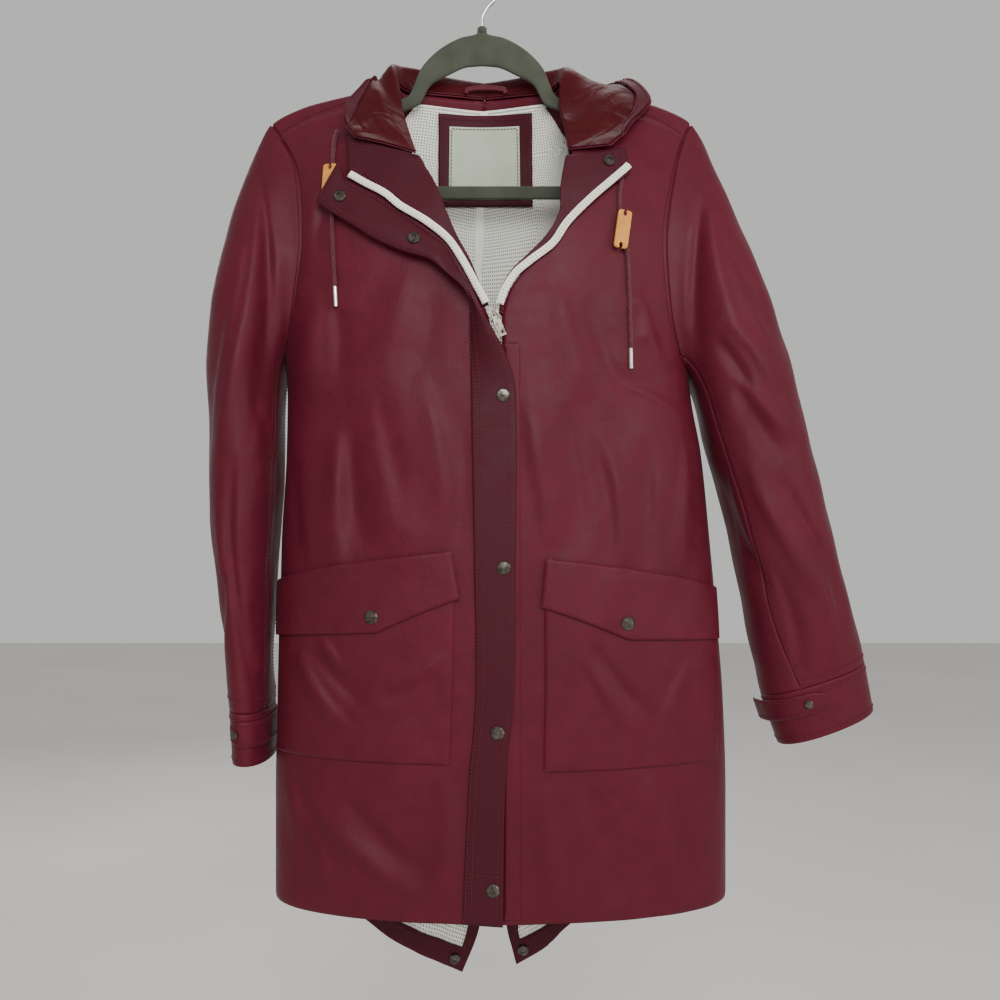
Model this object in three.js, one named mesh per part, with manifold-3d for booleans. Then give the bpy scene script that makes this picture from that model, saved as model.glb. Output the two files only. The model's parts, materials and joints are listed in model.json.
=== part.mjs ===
// Hooded fishtail raincoat on its hanger, in millimetres. Z is up, the front faces -Y and +X is the
// wearer's left. The origin is the inside top of the hook, where the hanger hangs on its rod.
import * as THREE from "three";
import { mergeVertices } from "three/addons/utils/BufferGeometryUtils.js";
import Module from "manifold-3d";

// Cloth and seams.
const CLOTH = 1.2;
const PLACKET_CLOTH = 1.4;
const CUFF_CLOTH = 1.8;
const FACING_CLOTH = 1.0;
const LINING_CLOTH = 1.0;
const LABEL_CLOTH = 0.8;
const SEAM_GAP = 0.4;
const LAYER_GAP = 0.8;

// The body hangs from a rounded ridge over the hanger and is an oval lower down.
const RIDGE_RADIUS = 7;
const SHOULDER_HALF_WIDTH = 200;
const SHAPE_PASSES = 5;
const OVAL_POWER = 0.8;
const SIDE_SEAM_SHARE = 0.05;
const RIDGE_FADE_START = -420;
const RIDGE_FADE_LENGTH = 200;
const FORWARD_SEAM = 18;
const NECK_STANDOFF = 20;
const NECK_STANDOFF_HALF_WIDTH = 62;
const NECK_STANDOFF_HEIGHT = 70;
const NECK_STANDOFF_AT = -122;

// Height of the cloth over the hanger, by distance from the middle.
const RIDGE = [
  { from: 0, z: -119 },
  { from: 60, z: -119 },
  { from: 80, z: -121 },
  { from: 169, z: -139 },
  { from: 200, z: -151 },
  { from: 214, z: -160 },
  { from: 230, z: -176 },
];

// Side edges of the body, by height.
const SIDES = [
  { z: -100, right: -226, left: 226 },
  { z: -160, right: -224, left: 222 },
  { z: -230, right: -212, left: 214 },
  { z: -320, right: -203, left: 208 },
  { z: -405, right: -198, left: 208 },
  { z: -441, right: -196, left: 211 },
  { z: -497, right: -197, left: 221 },
  { z: -586, right: -202, left: 230 },
  { z: -686, right: -204, left: 239 },
  { z: -741, right: -206, left: 243 },
  { z: -835, right: -208, left: 246 },
  { z: -950, right: -208, left: 246 },
];

// How far the cloth stands off the hanger's plane, by drop below the ridge.
const DEPTHS = [
  { drop: 0, front: 0, back: 0 },
  { drop: 25, front: 11, back: 10 },
  { drop: 55, front: 28, back: 22 },
  { drop: 100, front: 44, back: 34 },
  { drop: 155, front: 57, back: 43 },
  { drop: 275, front: 67, back: 53 },
  { drop: 455, front: 70, back: 56 },
  { drop: 830, front: 71, back: 58 },
];

// Largest folds of the body: a soft ridge (lift above 0) or trough (below 0) along a line.
const FOLDS = [
  { face: -1, topX: -150, topZ: -420, endX: -126, endZ: -620, width: 26, lift: -6 },
  { face: -1, topX: -88, topZ: -400, endX: -74, endZ: -620, width: 30, lift: 5 },
  { face: -1, topX: 112, topZ: -420, endX: 140, endZ: -620, width: 30, lift: -5 },
  { face: -1, topX: 168, topZ: -430, endX: 190, endZ: -640, width: 26, lift: 5 },
  { face: 1, topX: -122, topZ: -420, endX: -138, endZ: -1030, width: 36, lift: 8 },
  { face: 1, topX: -58, topZ: -440, endX: -64, endZ: -1040, width: 32, lift: -6 },
  { face: 1, topX: 76, topZ: -420, endX: 82, endZ: -1040, width: 34, lift: -6 },
  { face: 1, topX: 150, topZ: -430, endX: 168, endZ: -1030, width: 36, lift: 8 },
];

// Armhole seams from the shoulder point (0) to the underarm (180 degrees).
const ARMHOLE_RIGHT = [
  { angle: 0, x: -214, z: -160 },
  { angle: 30, x: -202, z: -177 },
  { angle: 60, x: -181, z: -221 },
  { angle: 90, x: -176, z: -282 },
  { angle: 120, x: -184, z: -344 },
  { angle: 150, x: -194, z: -388 },
  { angle: 180, x: -198.5, z: -405 },
];
const ARMHOLE_LEFT = [
  { angle: 0, x: 212, z: -160 },
  { angle: 30, x: 202, z: -178 },
  { angle: 60, x: 188, z: -224 },
  { angle: 90, x: 178.5, z: -289 },
  { angle: 120, x: 183.5, z: -352 },
  { angle: 150, x: 197, z: -400 },
  { angle: 180, x: 209.5, z: -418 },
];

// Rings of the sleeves: top of the arm, inside of the arm, depths, and how much of the ring is armhole.
const SLEEVE_RIGHT = [
  { s: 0, topX: -214.8, topZ: -160, inX: -199.2, inZ: -405, front: 34, back: 22, armhole: 1 },
  { s: 0.04, topX: -229, topZ: -178, inX: -201, inZ: -411, front: 38, back: 27, armhole: 0.8 },
  { s: 0.09, topX: -240, topZ: -203, inX: -202, inZ: -420, front: 46, back: 36, armhole: 0.55 },
  { s: 0.16, topX: -253, topZ: -240, inX: -203, inZ: -434, front: 56, back: 48, armhole: 0.3 },
  { s: 0.23, topX: -261, topZ: -280, inX: -203.5, inZ: -452, front: 64, back: 56, armhole: 0.1 },
  { s: 0.34, topX: -270, topZ: -342, inX: -203.5, inZ: -486, front: 69, back: 62, armhole: 0 },
  { s: 0.46, topX: -275, topZ: -412, inX: -204, inZ: -524, front: 68, back: 62, armhole: 0 },
  { s: 0.58, topX: -275, topZ: -484, inX: -206.5, inZ: -566, front: 66, back: 60, armhole: 0 },
  { s: 0.7, topX: -272, topZ: -556, inX: -210.5, inZ: -612, front: 64, back: 58, armhole: 0 },
  { s: 0.82, topX: -265, topZ: -632, inX: -213, inZ: -664, front: 61, back: 56, armhole: 0 },
  { s: 0.91, topX: -259, topZ: -694, inX: -215, inZ: -706, front: 58, back: 54, armhole: 0 },
  { s: 1, topX: -253, topZ: -750, inX: -214, inZ: -752, front: 56, back: 53, armhole: 0 },
  { s: 1.08, topX: -250, topZ: -802, inX: -213, inZ: -803, front: 54, back: 51, armhole: 0 },
];
const SLEEVE_LEFT = [
  { s: 0, topX: 212.8, topZ: -160, inX: 210.2, inZ: -418, front: 34, back: 22, armhole: 1 },
  { s: 0.04, topX: 226, topZ: -178, inX: 212, inZ: -422, front: 38, back: 27, armhole: 0.8 },
  { s: 0.09, topX: 237, topZ: -199, inX: 214, inZ: -428, front: 45, back: 36, armhole: 0.55 },
  { s: 0.16, topX: 249, topZ: -230, inX: 217, inZ: -438, front: 54, back: 46, armhole: 0.3 },
  { s: 0.23, topX: 264, topZ: -270, inX: 220, inZ: -452, front: 60, back: 53, armhole: 0.1 },
  { s: 0.34, topX: 290, topZ: -336, inX: 225, inZ: -478, front: 62, back: 56, armhole: 0 },
  { s: 0.46, topX: 314, topZ: -412, inX: 234, inZ: -512, front: 58, back: 54, armhole: 0 },
  { s: 0.58, topX: 335, topZ: -498, inX: 247, inZ: -556, front: 54, back: 50, armhole: 0 },
  { s: 0.7, topX: 354, topZ: -574, inX: 259, inZ: -614, front: 50, back: 46, armhole: 0 },
  { s: 0.82, topX: 372, topZ: -642, inX: 270, inZ: -672, front: 46, back: 43, armhole: 0 },
  { s: 0.91, topX: 381, topZ: -676, inX: 278, inZ: -708, front: 43, back: 41, armhole: 0 },
  { s: 1, topX: 388, topZ: -706, inX: 285, inZ: -740, front: 40, back: 39, armhole: 0 },
  { s: 1.12, topX: 397, topZ: -754, inX: 302, inZ: -790, front: 38, back: 37, armhole: 0 },
];
// Angles of the sleeve's two long seams, front and back, from the top of the arm.
const SLEEVE_SEAMS_RIGHT = [
  { s: 0, front: 150, back: 210 },
  { s: 0.4, front: 160, back: 205 },
  { s: 1, front: 158, back: 205 },
];
const SLEEVE_SEAMS_LEFT = [
  { s: 0, front: 150, back: 210 },
  { s: 0.4, front: 142, back: 215 },
  { s: 0.8, front: 128, back: 225 },
  { s: 1, front: 112, back: 235 },
];

// Neck edges of the two fronts, by height. Below the zip's slider the fronts stay a zip's width apart.
const NECK_EDGE_RIGHT = [
  { z: -137, x: -98 },
  { z: -160, x: -86 },
  { z: -185, x: -76 },
  { z: -212, x: -63 },
  { z: -240, x: -49 },
  { z: -260, x: -40 },
  { z: -292, x: -28 },
  { z: -321, x: -13 },
  { z: -352, x: 1 },
  { z: -375, x: 9 },
  { z: -410, x: 10.5 },
  { z: -950, x: 7 },
];
const NECK_EDGE_LEFT = [
  { z: -137, x: 89.5 },
  { z: -171, x: 89 },
  { z: -200, x: 89 },
  { z: -225, x: 84 },
  { z: -250, x: 81 },
  { z: -266, x: 82 },
  { z: -277, x: 76 },
  { z: -304, x: 57 },
  { z: -326, x: 38 },
  { z: -345, x: 26 },
  { z: -372, x: 20 },
  { z: -410, x: 20.5 },
  { z: -950, x: 20 },
];
const FRONT_TOP_Z = { outer: -172, inner: -137 };
const FRONT_HEM_Z = { outer: -940, inner: -949 };
const UNDERARM_ROW = 0.3;

// Back neck edge: share of the panel's top that is shoulder seam, then the girth of the neck edge, measured
// over the ridge from its top, from the shoulder seam (0) to the middle (1).
const SHOULDER_SHARE = 0.6;
const NECK_END_POWER = 8;
const BACK_NECK = [
  { along: 0, girth: -17.7 },
  { along: 0.12, girth: -4 },
  { along: 0.22, girth: 7 },
  { along: 0.34, girth: 10 },
  { along: 1, girth: 10 },
];
// Middle seam of the back, which opens into the vent between the two tails.
const BACK_MIDDLE = [
  { z: -120, seam: 2, right: 0, left: 0 },
  { z: -350, seam: -6, right: 0, left: 0 },
  { z: -600, seam: 2, right: 0, left: 0 },
  { z: -850, seam: 10, right: 0, left: 0 },
  { z: -950, seam: 11, right: -7, left: 8 },
  { z: -1000, seam: 11, right: -14, left: 14 },
  { z: -1050, seam: 11, right: -33, left: 26 },
];
const TAIL_HEM_RIGHT = [
  { u: 0, x: -208, z: -941 },
  { u: 0.2, x: -172, z: -957 },
  { u: 0.4, x: -131, z: -985 },
  { u: 0.6, x: -98, z: -1011 },
  { u: 0.8, x: -60, z: -1031 },
  { u: 1, x: -22, z: -1048 },
];
const TAIL_HEM_LEFT = [
  { u: 0, x: 246, z: -941 },
  { u: 0.2, x: 200, z: -955 },
  { u: 0.4, x: 140, z: -974 },
  { u: 0.6, x: 98, z: -992 },
  { u: 0.8, x: 68, z: -1020 },
  { u: 1, x: 36, z: -1040 },
];
// The tails' facings and the lining above them, as shares of a back panel.
const TAIL_FACING = { width: 0.045, height: 0.025, ventTop: 0.796, corner: 0.6 };
const INSIDE_GAP = 1.6;
const LINING_START = { shoulder: 0.13, neck: 0.012, from: 0.56, to: 0.76 };
const PATCH_GAP = 1.8;
const TAIL_GAP = 1.1;
const LINING_SIDE = 0.15;
const LINING_END = 0.985;

// Pockets and flaps, by corner: seam side is the one at the side seam.
const POCKET_RIGHT = { topOut: [-201, -640], topIn: [-25, -606], endOut: [-202, -791], endIn: [-30, -796] };
const POCKET_LEFT = { topOut: [231, -644], topIn: [60, -612], endOut: [231, -797], endIn: [60, -803] };
const FLAP_RIGHT = {
  topOut: [-202.5, -626], topIn: [-28, -592], endOut: [-201, -678], endIn: [-20, -637], point: [-99, -670],
};
const FLAP_LEFT = {
  topOut: [231, -631], topIn: [62, -599], endOut: [232, -681], endIn: [57, -645], point: [141, -677],
};
const FLAP_FLARE = 1.2;
const POCKET_GRID = { across: 9, down: 4 };

// The placket: seam edge, free edge and how far the strip bows out between them, from hem to top.
const PLACKET = [
  { seamX: -17.8, seamZ: -948, seamOut: 3.1, freeX: 21, freeZ: -950, freeOut: 4.8, bow: 0 },
  { seamX: -12, seamZ: -820, seamOut: 3.1, freeX: 23, freeZ: -825, freeOut: 4.8, bow: 0 },
  { seamX: -4.8, seamZ: -714, seamOut: 3.1, freeX: 32, freeZ: -714, freeOut: 5, bow: 0.5 },
  { seamX: -6.5, seamZ: -600, seamOut: 3.1, freeX: 33, freeZ: -600, freeOut: 4.8, bow: 0 },
  { seamX: -8.4, seamZ: -500, seamOut: 3.1, freeX: 34.5, freeZ: -502, freeOut: 4.8, bow: 0 },
  { seamX: -9.6, seamZ: -436, seamOut: 3.1, freeX: 33, freeZ: -440, freeOut: 5.6, bow: 1 },
  { seamX: -10.2, seamZ: -404, seamOut: 3.1, freeX: 25, freeZ: -407, freeOut: 9.6, bow: 4 },
  { seamX: -10.8, seamZ: -380, seamOut: 3.4, freeX: 14, freeZ: -385, freeOut: 14.6, bow: 7 },
  { seamX: -10.8, seamZ: -360, seamOut: 4.4, freeX: 0, freeZ: -364, freeOut: 18.6, bow: 7 },
  { seamX: -13, seamZ: -341, seamOut: 4.8, freeX: -15, freeZ: -345, freeOut: 19, bow: 4 },
  { seamX: -23, seamZ: -320.5, seamOut: 4.4, freeX: -32, freeZ: -329, freeOut: 16, bow: 3 },
  { seamX: -35.5, seamZ: -299.5, seamOut: 4.2, freeX: -48.5, freeZ: -315, freeOut: 13.6, bow: 4 },
  { seamX: -55.5, seamZ: -283, seamOut: 4.2, freeX: -72, freeZ: -307, freeOut: 11.6, bow: 4 },
  { seamX: -80, seamZ: -266.5, seamOut: 4.4, freeX: -98, freeZ: -295, freeOut: 10.8, bow: 4 },
  { seamX: -97, seamZ: -254, seamOut: 4.8, freeX: -120, freeZ: -281, freeOut: 10.8, bow: 3 },
  { seamX: -116, seamZ: -243, seamOut: 6.4, freeX: -137, freeZ: -270, freeOut: 11, bow: 2 },
  { seamX: -132.5, seamZ: -232, seamOut: 9.4, freeX: -150, freeZ: -260.5, freeOut: 11.6, bow: 1 },
  { seamX: -137, seamZ: -214, seamOut: 11, freeX: -157.5, freeZ: -254, freeOut: 12, bow: 1 },
];
const CUFF_TAB_RIGHT = { from: 54, to: 342, top: 1.012, end: 1.052, taper: 0.008, lift: 3 };
const CUFF_TAB_LEFT = { from: 90, to: 198, top: 1.014, end: 1.064, taper: 0.01, lift: 8 };
const PLACKET_GRID = { across: 4, down: 34 };
const UNDERLAP = { inner: 23, outer: 37.5, topZ: -392, endZ: -944, out: 1.5, rows: 14 };

// Facings of the neck opening: zip edge and roll edge, from the slider up to the hood's seam.
const FACING_GRID = { across: 2, down: 18 };
const FACING_RIGHT = [
  { zipX: 3, zipZ: -359, rollX: 7.5, rollZ: -356, out: 2.4 },
  { zipX: -8.5, zipZ: -338, rollX: -1, rollZ: -335, out: 4.4 },
  { zipX: -20.5, zipZ: -315.5, rollX: -10.5, rollZ: -312, out: 4.4 },
  { zipX: -34.5, zipZ: -295, rollX: -22.9, rollZ: -289, out: 4.6 },
  { zipX: -54, zipZ: -279, rollX: -32, rollZ: -268, out: 4.8 },
  { zipX: -79, zipZ: -262, rollX: -38.5, rollZ: -251, out: 5 },
  { zipX: -95, zipZ: -249.5, rollX: -43.5, rollZ: -238.7, out: 5 },
  { zipX: -114, zipZ: -238, rollX: -49, rollZ: -228, out: 5 },
  { zipX: -130.5, zipZ: -222.5, rollX: -53.5, rollZ: -221, out: 5 },
  { zipX: -131, zipZ: -200, rollX: -57, rollZ: -214, out: 6 },
  { zipX: -133.5, zipZ: -185.5, rollX: -60, rollZ: -210.5, out: 8 },
];
const FACING_LEFT = [
  { zipX: 20.5, zipZ: -368, rollX: 17, rollZ: -364, out: 1.9 },
  { zipX: 25, zipZ: -347, rollX: 18.5, rollZ: -344, out: 4.4 },
  { zipX: 36, zipZ: -329, rollX: 29, rollZ: -323, out: 4.4 },
  { zipX: 50, zipZ: -317, rollX: 44, rollZ: -308, out: 4.4 },
  { zipX: 72, zipZ: -299, rollX: 62, rollZ: -289, out: 4.4 },
  { zipX: 85, zipZ: -280, rollX: 72, rollZ: -273, out: 4.6 },
  { zipX: 109, zipZ: -254.5, rollX: 76, rollZ: -260, out: 5.4 },
  { zipX: 127, zipZ: -238, rollX: 75.5, rollZ: -247, out: 7 },
  { zipX: 144, zipZ: -221, rollX: 77, rollZ: -234, out: 8.4 },
  { zipX: 140.5, zipZ: -198.5, rollX: 81.5, rollZ: -210.5, out: 9 },
];

// Zip chains along the neck opening and, closed, below the slider.
const ZIP_WIDTH = 7.2;
const ZIP_THICKNESS = 2.4;
const ZIP_RIGHT = [
  { x: -127.7, z: -225.7, out: 8.6 },
  { x: -111.6, z: -235.8, out: 8.3 },
  { x: -92.6, z: -246.9, out: 8.2 },
  { x: -77.8, z: -259.6, out: 8.2 },
  { x: -51.5, z: -276, out: 8 },
  { x: -31.4, z: -292.8, out: 7.8 },
  { x: -17, z: -314.2, out: 7.6 },
  { x: -4.5, z: -337.4, out: 7.6 },
  { x: 5, z: -355, out: 7.6 },
];
const ZIP_LEFT = [
  { x: 142.7, z: -217.8, out: 11.8 },
  { x: 124.3, z: -234.6, out: 10.6 },
  { x: 106.3, z: -251, out: 9 },
  { x: 81.7, z: -277, out: 8 },
  { x: 69.1, z: -295.9, out: 7.8 },
  { x: 47, z: -313.7, out: 7.6 },
  { x: 32.6, z: -326.3, out: 7.6 },
  { x: 21.6, z: -344.7, out: 7.6 },
  { x: 18, z: -356, out: 7.6 },
];
const ZIP_CLOSED = [
  { x: 13.5, z: -376, out: 0.6 },
  { x: 15.3, z: -410, out: 0.6 },
  { x: 14.5, z: -650, out: 0.6 },
  { x: 13.5, z: -905, out: 0.6 },
];
const SLIDER = { x: 12.3, z: -366, out: 2.6, width: 9.6, length: 12.6, thickness: 6, lean: 12 };
const SLIDER_OUTLINE = [
  { across: 0.7, along: -1 },
  { across: 1, along: -0.4 },
  { across: 1, along: 0.6 },
  { across: 0.55, along: 1 },
];
const BRIDGE = { width: 2, wire: 1.3, inside: 3.6, height: 2.6, up: 1.5 };
const PULL = { width: 6.8, length: 22, thickness: 1.4, hole: 3.2, holeInset: 2.2, lean: 22, swing: -6 };
const SINK = 0.5;
const EYE = { width: 3.6, length: 3.8, wall: 1.2 };

// The hood, fallen back behind the neck: a row per section from the wearer's front round to the middle of
// the back. Each section runs from the neck seam over the crest, down inside the pouch and up to the rim.
const HOOD_RIGHT = [
  { s: 0, neck: [-124, -46, -188], crest: [-127, -46, -185], low: [-130, -47, -182], rim: [-133, -48, -179] },
  { s: 0.16, neck: [-95, -46, -195], crest: [-106, -39, -184], low: [-122, -37, -174], rim: [-136, -42, -168] },
  { s: 0.32, neck: [-64, -44, -204], crest: [-84, -37, -180], low: [-110, -27, -158], rim: [-136, -33, -153] },
  { s: 0.44, neck: [-78, -21, -160], crest: [-86, -18, -148], low: [-104, -14, -132], rim: [-126, -19, -134] },
  { s: 0.54, neck: [-86.5, -2, -119.8], crest: [-92, -2, -104], low: [-106, 6, -115], rim: [-117, -10, -117] },
  { s: 0.6, neck: [-79, 9, -122.6], crest: [-89, 9, -98], low: [-106, 22, -119], rim: [-112, -5, -114] },
  { s: 0.7, neck: [-67, 13.5, -123.6], crest: [-71, 18, -98], low: [-120, 44, -190], rim: [-128, 28, -112] },
  { s: 0.85, neck: [-38, 20.5, -123.6], crest: [-41, 28, -103], low: [-92, 76, -290], rim: [-100, 72, -118] },
  { s: 1, neck: [1.4, 27.4, -125], crest: [1.4, 34, -108], low: [1.4, 90, -372], rim: [1.4, 96, -132] },
];
const HOOD_LEFT = [
  { s: 0, neck: [128, -46, -196], crest: [132, -44, -192], low: [136, -43, -188], rim: [140, -42, -185] },
  { s: 0.16, neck: [86, -44, -200], crest: [106, -38, -190], low: [130, -31, -178], rim: [150, -32, -170] },
  { s: 0.32, neck: [82, -31, -173], crest: [108, -24, -158], low: [138, -18, -148], rim: [165, -20, -152] },
  { s: 0.44, neck: [78, -12, -148], crest: [98, -9, -126], low: [134, -4, -128], rim: [171, -14, -141] },
  { s: 0.54, neck: [79, -2, -119.6], crest: [88, 2, -105], low: [118, 8, -118], rim: [162, 2, -120] },
  { s: 0.6, neck: [71.5, 9, -122.6], crest: [84, 11, -100], low: [114, 22, -119], rim: [155, 10, -112] },
  { s: 0.7, neck: [62, 14.5, -123.6], crest: [64, 20, -101], low: [120, 44, -190], rim: [132, 32, -106] },
  { s: 0.85, neck: [36, 21, -123.6], crest: [40, 28, -104], low: [94, 76, -290], rim: [104, 72, -116] },
  { s: 1, neck: [2.8, 27.4, -125], crest: [2.8, 34, -108], low: [2.8, 90, -372], rim: [2.8, 96, -132] },
];
const POUCH_DEPTH = 9;
const POUCH_FROM = 0.5;
const BELLY_SHARE = 0.45;
const BELLY_RISE = 4;
const HOOD_INSET = 0.01;
const HOOD_LAYER_GAP = 1.6;

// Hanger: half of its outline from the middle to the tip, outside and inside.
const HANGER_THICKNESS = 6;
const HANGER_OUTSIDE = [
  { x: 4.7, z: -61 },
  { x: 4.9, z: -66.5 },
  { x: 22, z: -71.5 },
  { x: 43, z: -83 },
  { x: 61, z: -101 },
  { x: 78, z: -133 },
  { x: 120, z: -139 },
  { x: 169, z: -148.4 },
  { x: 191, z: -158 },
  { x: 202, z: -168 },
  { x: 205, z: -182 },
  { x: 194, z: -209 },
  { x: 178, z: -228 },
  { x: 164, z: -236 },
];
const HANGER_INSIDE = [
  { x: 14, z: -101 },
  { x: 36, z: -110 },
  { x: 52, z: -119 },
  { x: 66, z: -140.5 },
  { x: 120, z: -154 },
  { x: 164, z: -164 },
  { x: 182, z: -174 },
  { x: 188, z: -184 },
  { x: 177, z: -207 },
  { x: 160, z: -223 },
];
const HOOK_WIRE = 3.8;
const HOOK_SIDES = 8;
const HOOK_STEPS = 22;
const HOOK_INSIDE_RADIUS = 17;
const HOOK_STEM = [
  { x: 0, z: -60.6 },
  { x: 0, z: -52 },
  { x: 4, z: -42 },
  { x: 14, z: -31 },
];
const HOOK_BEND = [-20, 10, 40, 70, 90, 110, 140, 170];
const HOOK_END = { x: -17.5, z: -27 };

// Label patch, label and hanger loop inside the neck.
const LABEL_GRID = { across: 6, down: 5 };
const PATCH = { fromX: -47, toX: 53, topZ: -140, endZ: -233 };
const LABEL = { fromX: -36, toX: 40, topZ: -152, endZ: -226 };
const LOOP = { fromX: -20, toX: 27, endZ: -121, topZ: -112.5, y: 20.2, height: 5.6, thickness: 2 };

// Drawcords with their toggles and tips, from where they leave the hood's casing.
const CORD_WIDTH = 3.8;
const CORD_SIDES = 8;
const CORD_STEPS = 12;
const CORD_RIGHT = [
  { x: -144, z: -176, out: 3.3 },
  { x: -146, z: -195, out: 3.3 },
  { x: -145.5, z: -234, out: 3.3 },
  { x: -144.5, z: -273, out: 3.3 },
  { x: -142.5, z: -310, out: 3.3 },
  { x: -141, z: -336, out: 3.3 },
];
const CORD_LEFT = [
  { x: 138, z: -222, out: 3.3 },
  { x: 134, z: -252, out: 3.3 },
  { x: 136.5, z: -284, out: 3.3 },
  { x: 141, z: -306, out: 3.3 },
  { x: 143, z: -350, out: 3.3 },
  { x: 144, z: -396, out: 3.3 },
];
const TOGGLE = { width: 13.5, length: 38, thickness: 3, notch: 4.2, notchDepth: 6, edgeRadius: 3 };
const TOGGLE_RIGHT = { x: -147, z: -234, out: 7.3, lean: 0 };
const TOGGLE_LEFT = { x: 135.5, z: -282, out: 7.3, lean: 10 };
const TIP = { radius: 2.2, length: 19.5, sides: 12 };

// Snap fasteners: domed caps and open sockets.
const CAP = { radius: 6.6, height: 2.4, rim: 0.9 };
const SMALL_CAP = { radius: 4.6, height: 2, rim: 0.8 };
const PLACKET_SNAPS = [
  { u: 0.72, v: 0.289 },
  { u: 0.72, v: 0.1725 },
  { u: 0.66, v: 0.09 },
  { u: 0.74, v: 0.016 },
];
const LAPEL_SNAPS = [
  { u: 0.48, v: 0.912 },
  { u: 0.48, v: 0.706 },
];
const COLLAR_SNAP = { x: 123.6, z: -213.5, out: 8.2 };
const FLAP_SNAP_LIFT = 0.8;
const FLAP_SNAP_RIGHT = { x: -104, z: -655 };
const FLAP_SNAP_LEFT = { x: 140, z: -661 };
const CUFF_SNAP_RIGHT = { angle: 75, s: 1.032 };
const CUFF_SNAP_LEFT = { angle: 108, s: 1.039 };
const TAIL_SNAP_RIGHT = { x: -30, z: -1033 };
const TAIL_SNAP_LEFT = { x: 43, z: -1024 };
const SOCKET = { radius: 6, height: 1.8, hole: 2.4, depth: 1 };

const COLOURS = {
  shell: { colour: 0x5e2430, roughness: 0.42, metalness: 0 },
  facing: { colour: 0x5b2634, roughness: 0.5, metalness: 0 },
  satin: { colour: 0x6a1e26, roughness: 0.38, metalness: 0 },
  mesh: { colour: 0xc9cfc8, roughness: 0.8, metalness: 0 },
  zip: { colour: 0xf1efe2, roughness: 0.4, metalness: 0 },
  slider: { colour: 0x4a4744, roughness: 0.35, metalness: 1 },
  snap: { colour: 0x6d675c, roughness: 0.35, metalness: 1 },
  hanger: { colour: 0x66735f, roughness: 0.95, metalness: 0 },
  hook: { colour: 0xc8cacc, roughness: 0.15, metalness: 1 },
  cord: { colour: 0x4d1822, roughness: 0.8, metalness: 0 },
  toggle: { colour: 0xcfa066, roughness: 0.6, metalness: 0 },
  tip: { colour: 0xe2dfda, roughness: 0.3, metalness: 1 },
  label: { colour: 0xc3ccb5, roughness: 0.85, metalness: 0 },
};

// Maths.
const HALF_PI = Math.PI / 2;
const clamp = (value, low, high) => Math.max(low, Math.min(high, value));
const mix = (a, b, t) => a + (b - a) * t;
const radians = (degrees) => (degrees * Math.PI) / 180;
const vec = (x, y, z) => new THREE.Vector3(x, y, z);

// Smooth value of a table's column at a key, without overshoot between rows.
function lookUp(rows, key, column, at) {
  const rising = rows[0][key] < rows[rows.length - 1][key];
  const sorted = rising ? rows : [...rows].reverse();
  const last = sorted.length - 1;
  if (at <= sorted[0][key]) return sorted[0][column];
  if (at >= sorted[last][key]) return sorted[last][column];
  let i = 0;
  while (at > sorted[i + 1][key]) i += 1;
  const step = (a) => (sorted[a + 1][column] - sorted[a][column]) / (sorted[a + 1][key] - sorted[a][key]);
  const blend = (a, b) => (a * b <= 0 ? 0 : (2 * a * b) / (a + b));
  const slope = step(i);
  const startSlope = i > 0 ? blend(step(i - 1), slope) : slope;
  const endSlope = i < last - 1 ? blend(slope, step(i + 1)) : slope;
  const width = sorted[i + 1][key] - sorted[i][key];
  const t = (at - sorted[i][key]) / width;
  return (
    sorted[i][column] * (1 + 2 * t) * (1 - t) ** 2 +
    width * startSlope * t * (1 - t) ** 2 +
    sorted[i + 1][column] * t * t * (3 - 2 * t) +
    width * endSlope * t * t * (t - 1)
  );
}

// A table's column at t from its first row (0) to its last (1), rows evenly spaced.
function along(rows, column, t) {
  const numbered = rows.map((row, index) => ({ index, value: row[column] }));
  return lookUp(numbered, "index", "value", t * (rows.length - 1));
}

// The body's surface: turn runs round the front or back (-90 to 90 degrees, in radians), girth runs
// from the front hem (below 0) over the ridge (0) to the back hem.
const powered = (value, power) => Math.sign(value) * Math.abs(value) ** power;

function bodyX(turn, z) {
  const right = lookUp(SIDES, "z", "right", z);
  const left = lookUp(SIDES, "z", "left", z);
  return (right + left) / 2 + ((left - right) / 2) * powered(Math.sin(turn), OVAL_POWER);
}

function turnAt(x, z) {
  const right = lookUp(SIDES, "z", "right", z);
  const left = lookUp(SIDES, "z", "left", z);
  const share = clamp((x - (right + left) / 2) / ((left - right) / 2), -1, 1);
  return Math.asin(powered(share, 1 / OVAL_POWER));
}

const ridgeZ = (x) => lookUp(RIDGE, "from", "z", Math.abs(x));
const ridgeShare = (z) => clamp((z - RIDGE_FADE_START) / RIDGE_FADE_LENGTH, SIDE_SEAM_SHARE, 1);

function girthAt(x, z, face) {
  const drop = Math.max(0, ridgeZ(x) - z);
  if (drop < RIDGE_RADIUS) return face * RIDGE_RADIUS * Math.acos(1 - drop / RIDGE_RADIUS);
  return face * (drop + RIDGE_RADIUS * (HALF_PI - 1));
}

function foldLift(x, z, face) {
  let lift = 0;
  for (const fold of FOLDS) {
    const t = (z - fold.topZ) / (fold.endZ - fold.topZ);
    if (fold.face !== face || t <= 0 || t >= 1) continue;
    const off = (x - mix(fold.topX, fold.endX, t)) / fold.width;
    lift += fold.lift * Math.sin(Math.PI * t) * Math.exp(-off * off);
  }
  return lift;
}

function neckStandoff(x, z) {
  const across = x / NECK_STANDOFF_HALF_WIDTH;
  const down = (z - NECK_STANDOFF_AT) / NECK_STANDOFF_HEIGHT;
  return NECK_STANDOFF * Math.exp(-across * across - down * down);
}

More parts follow.
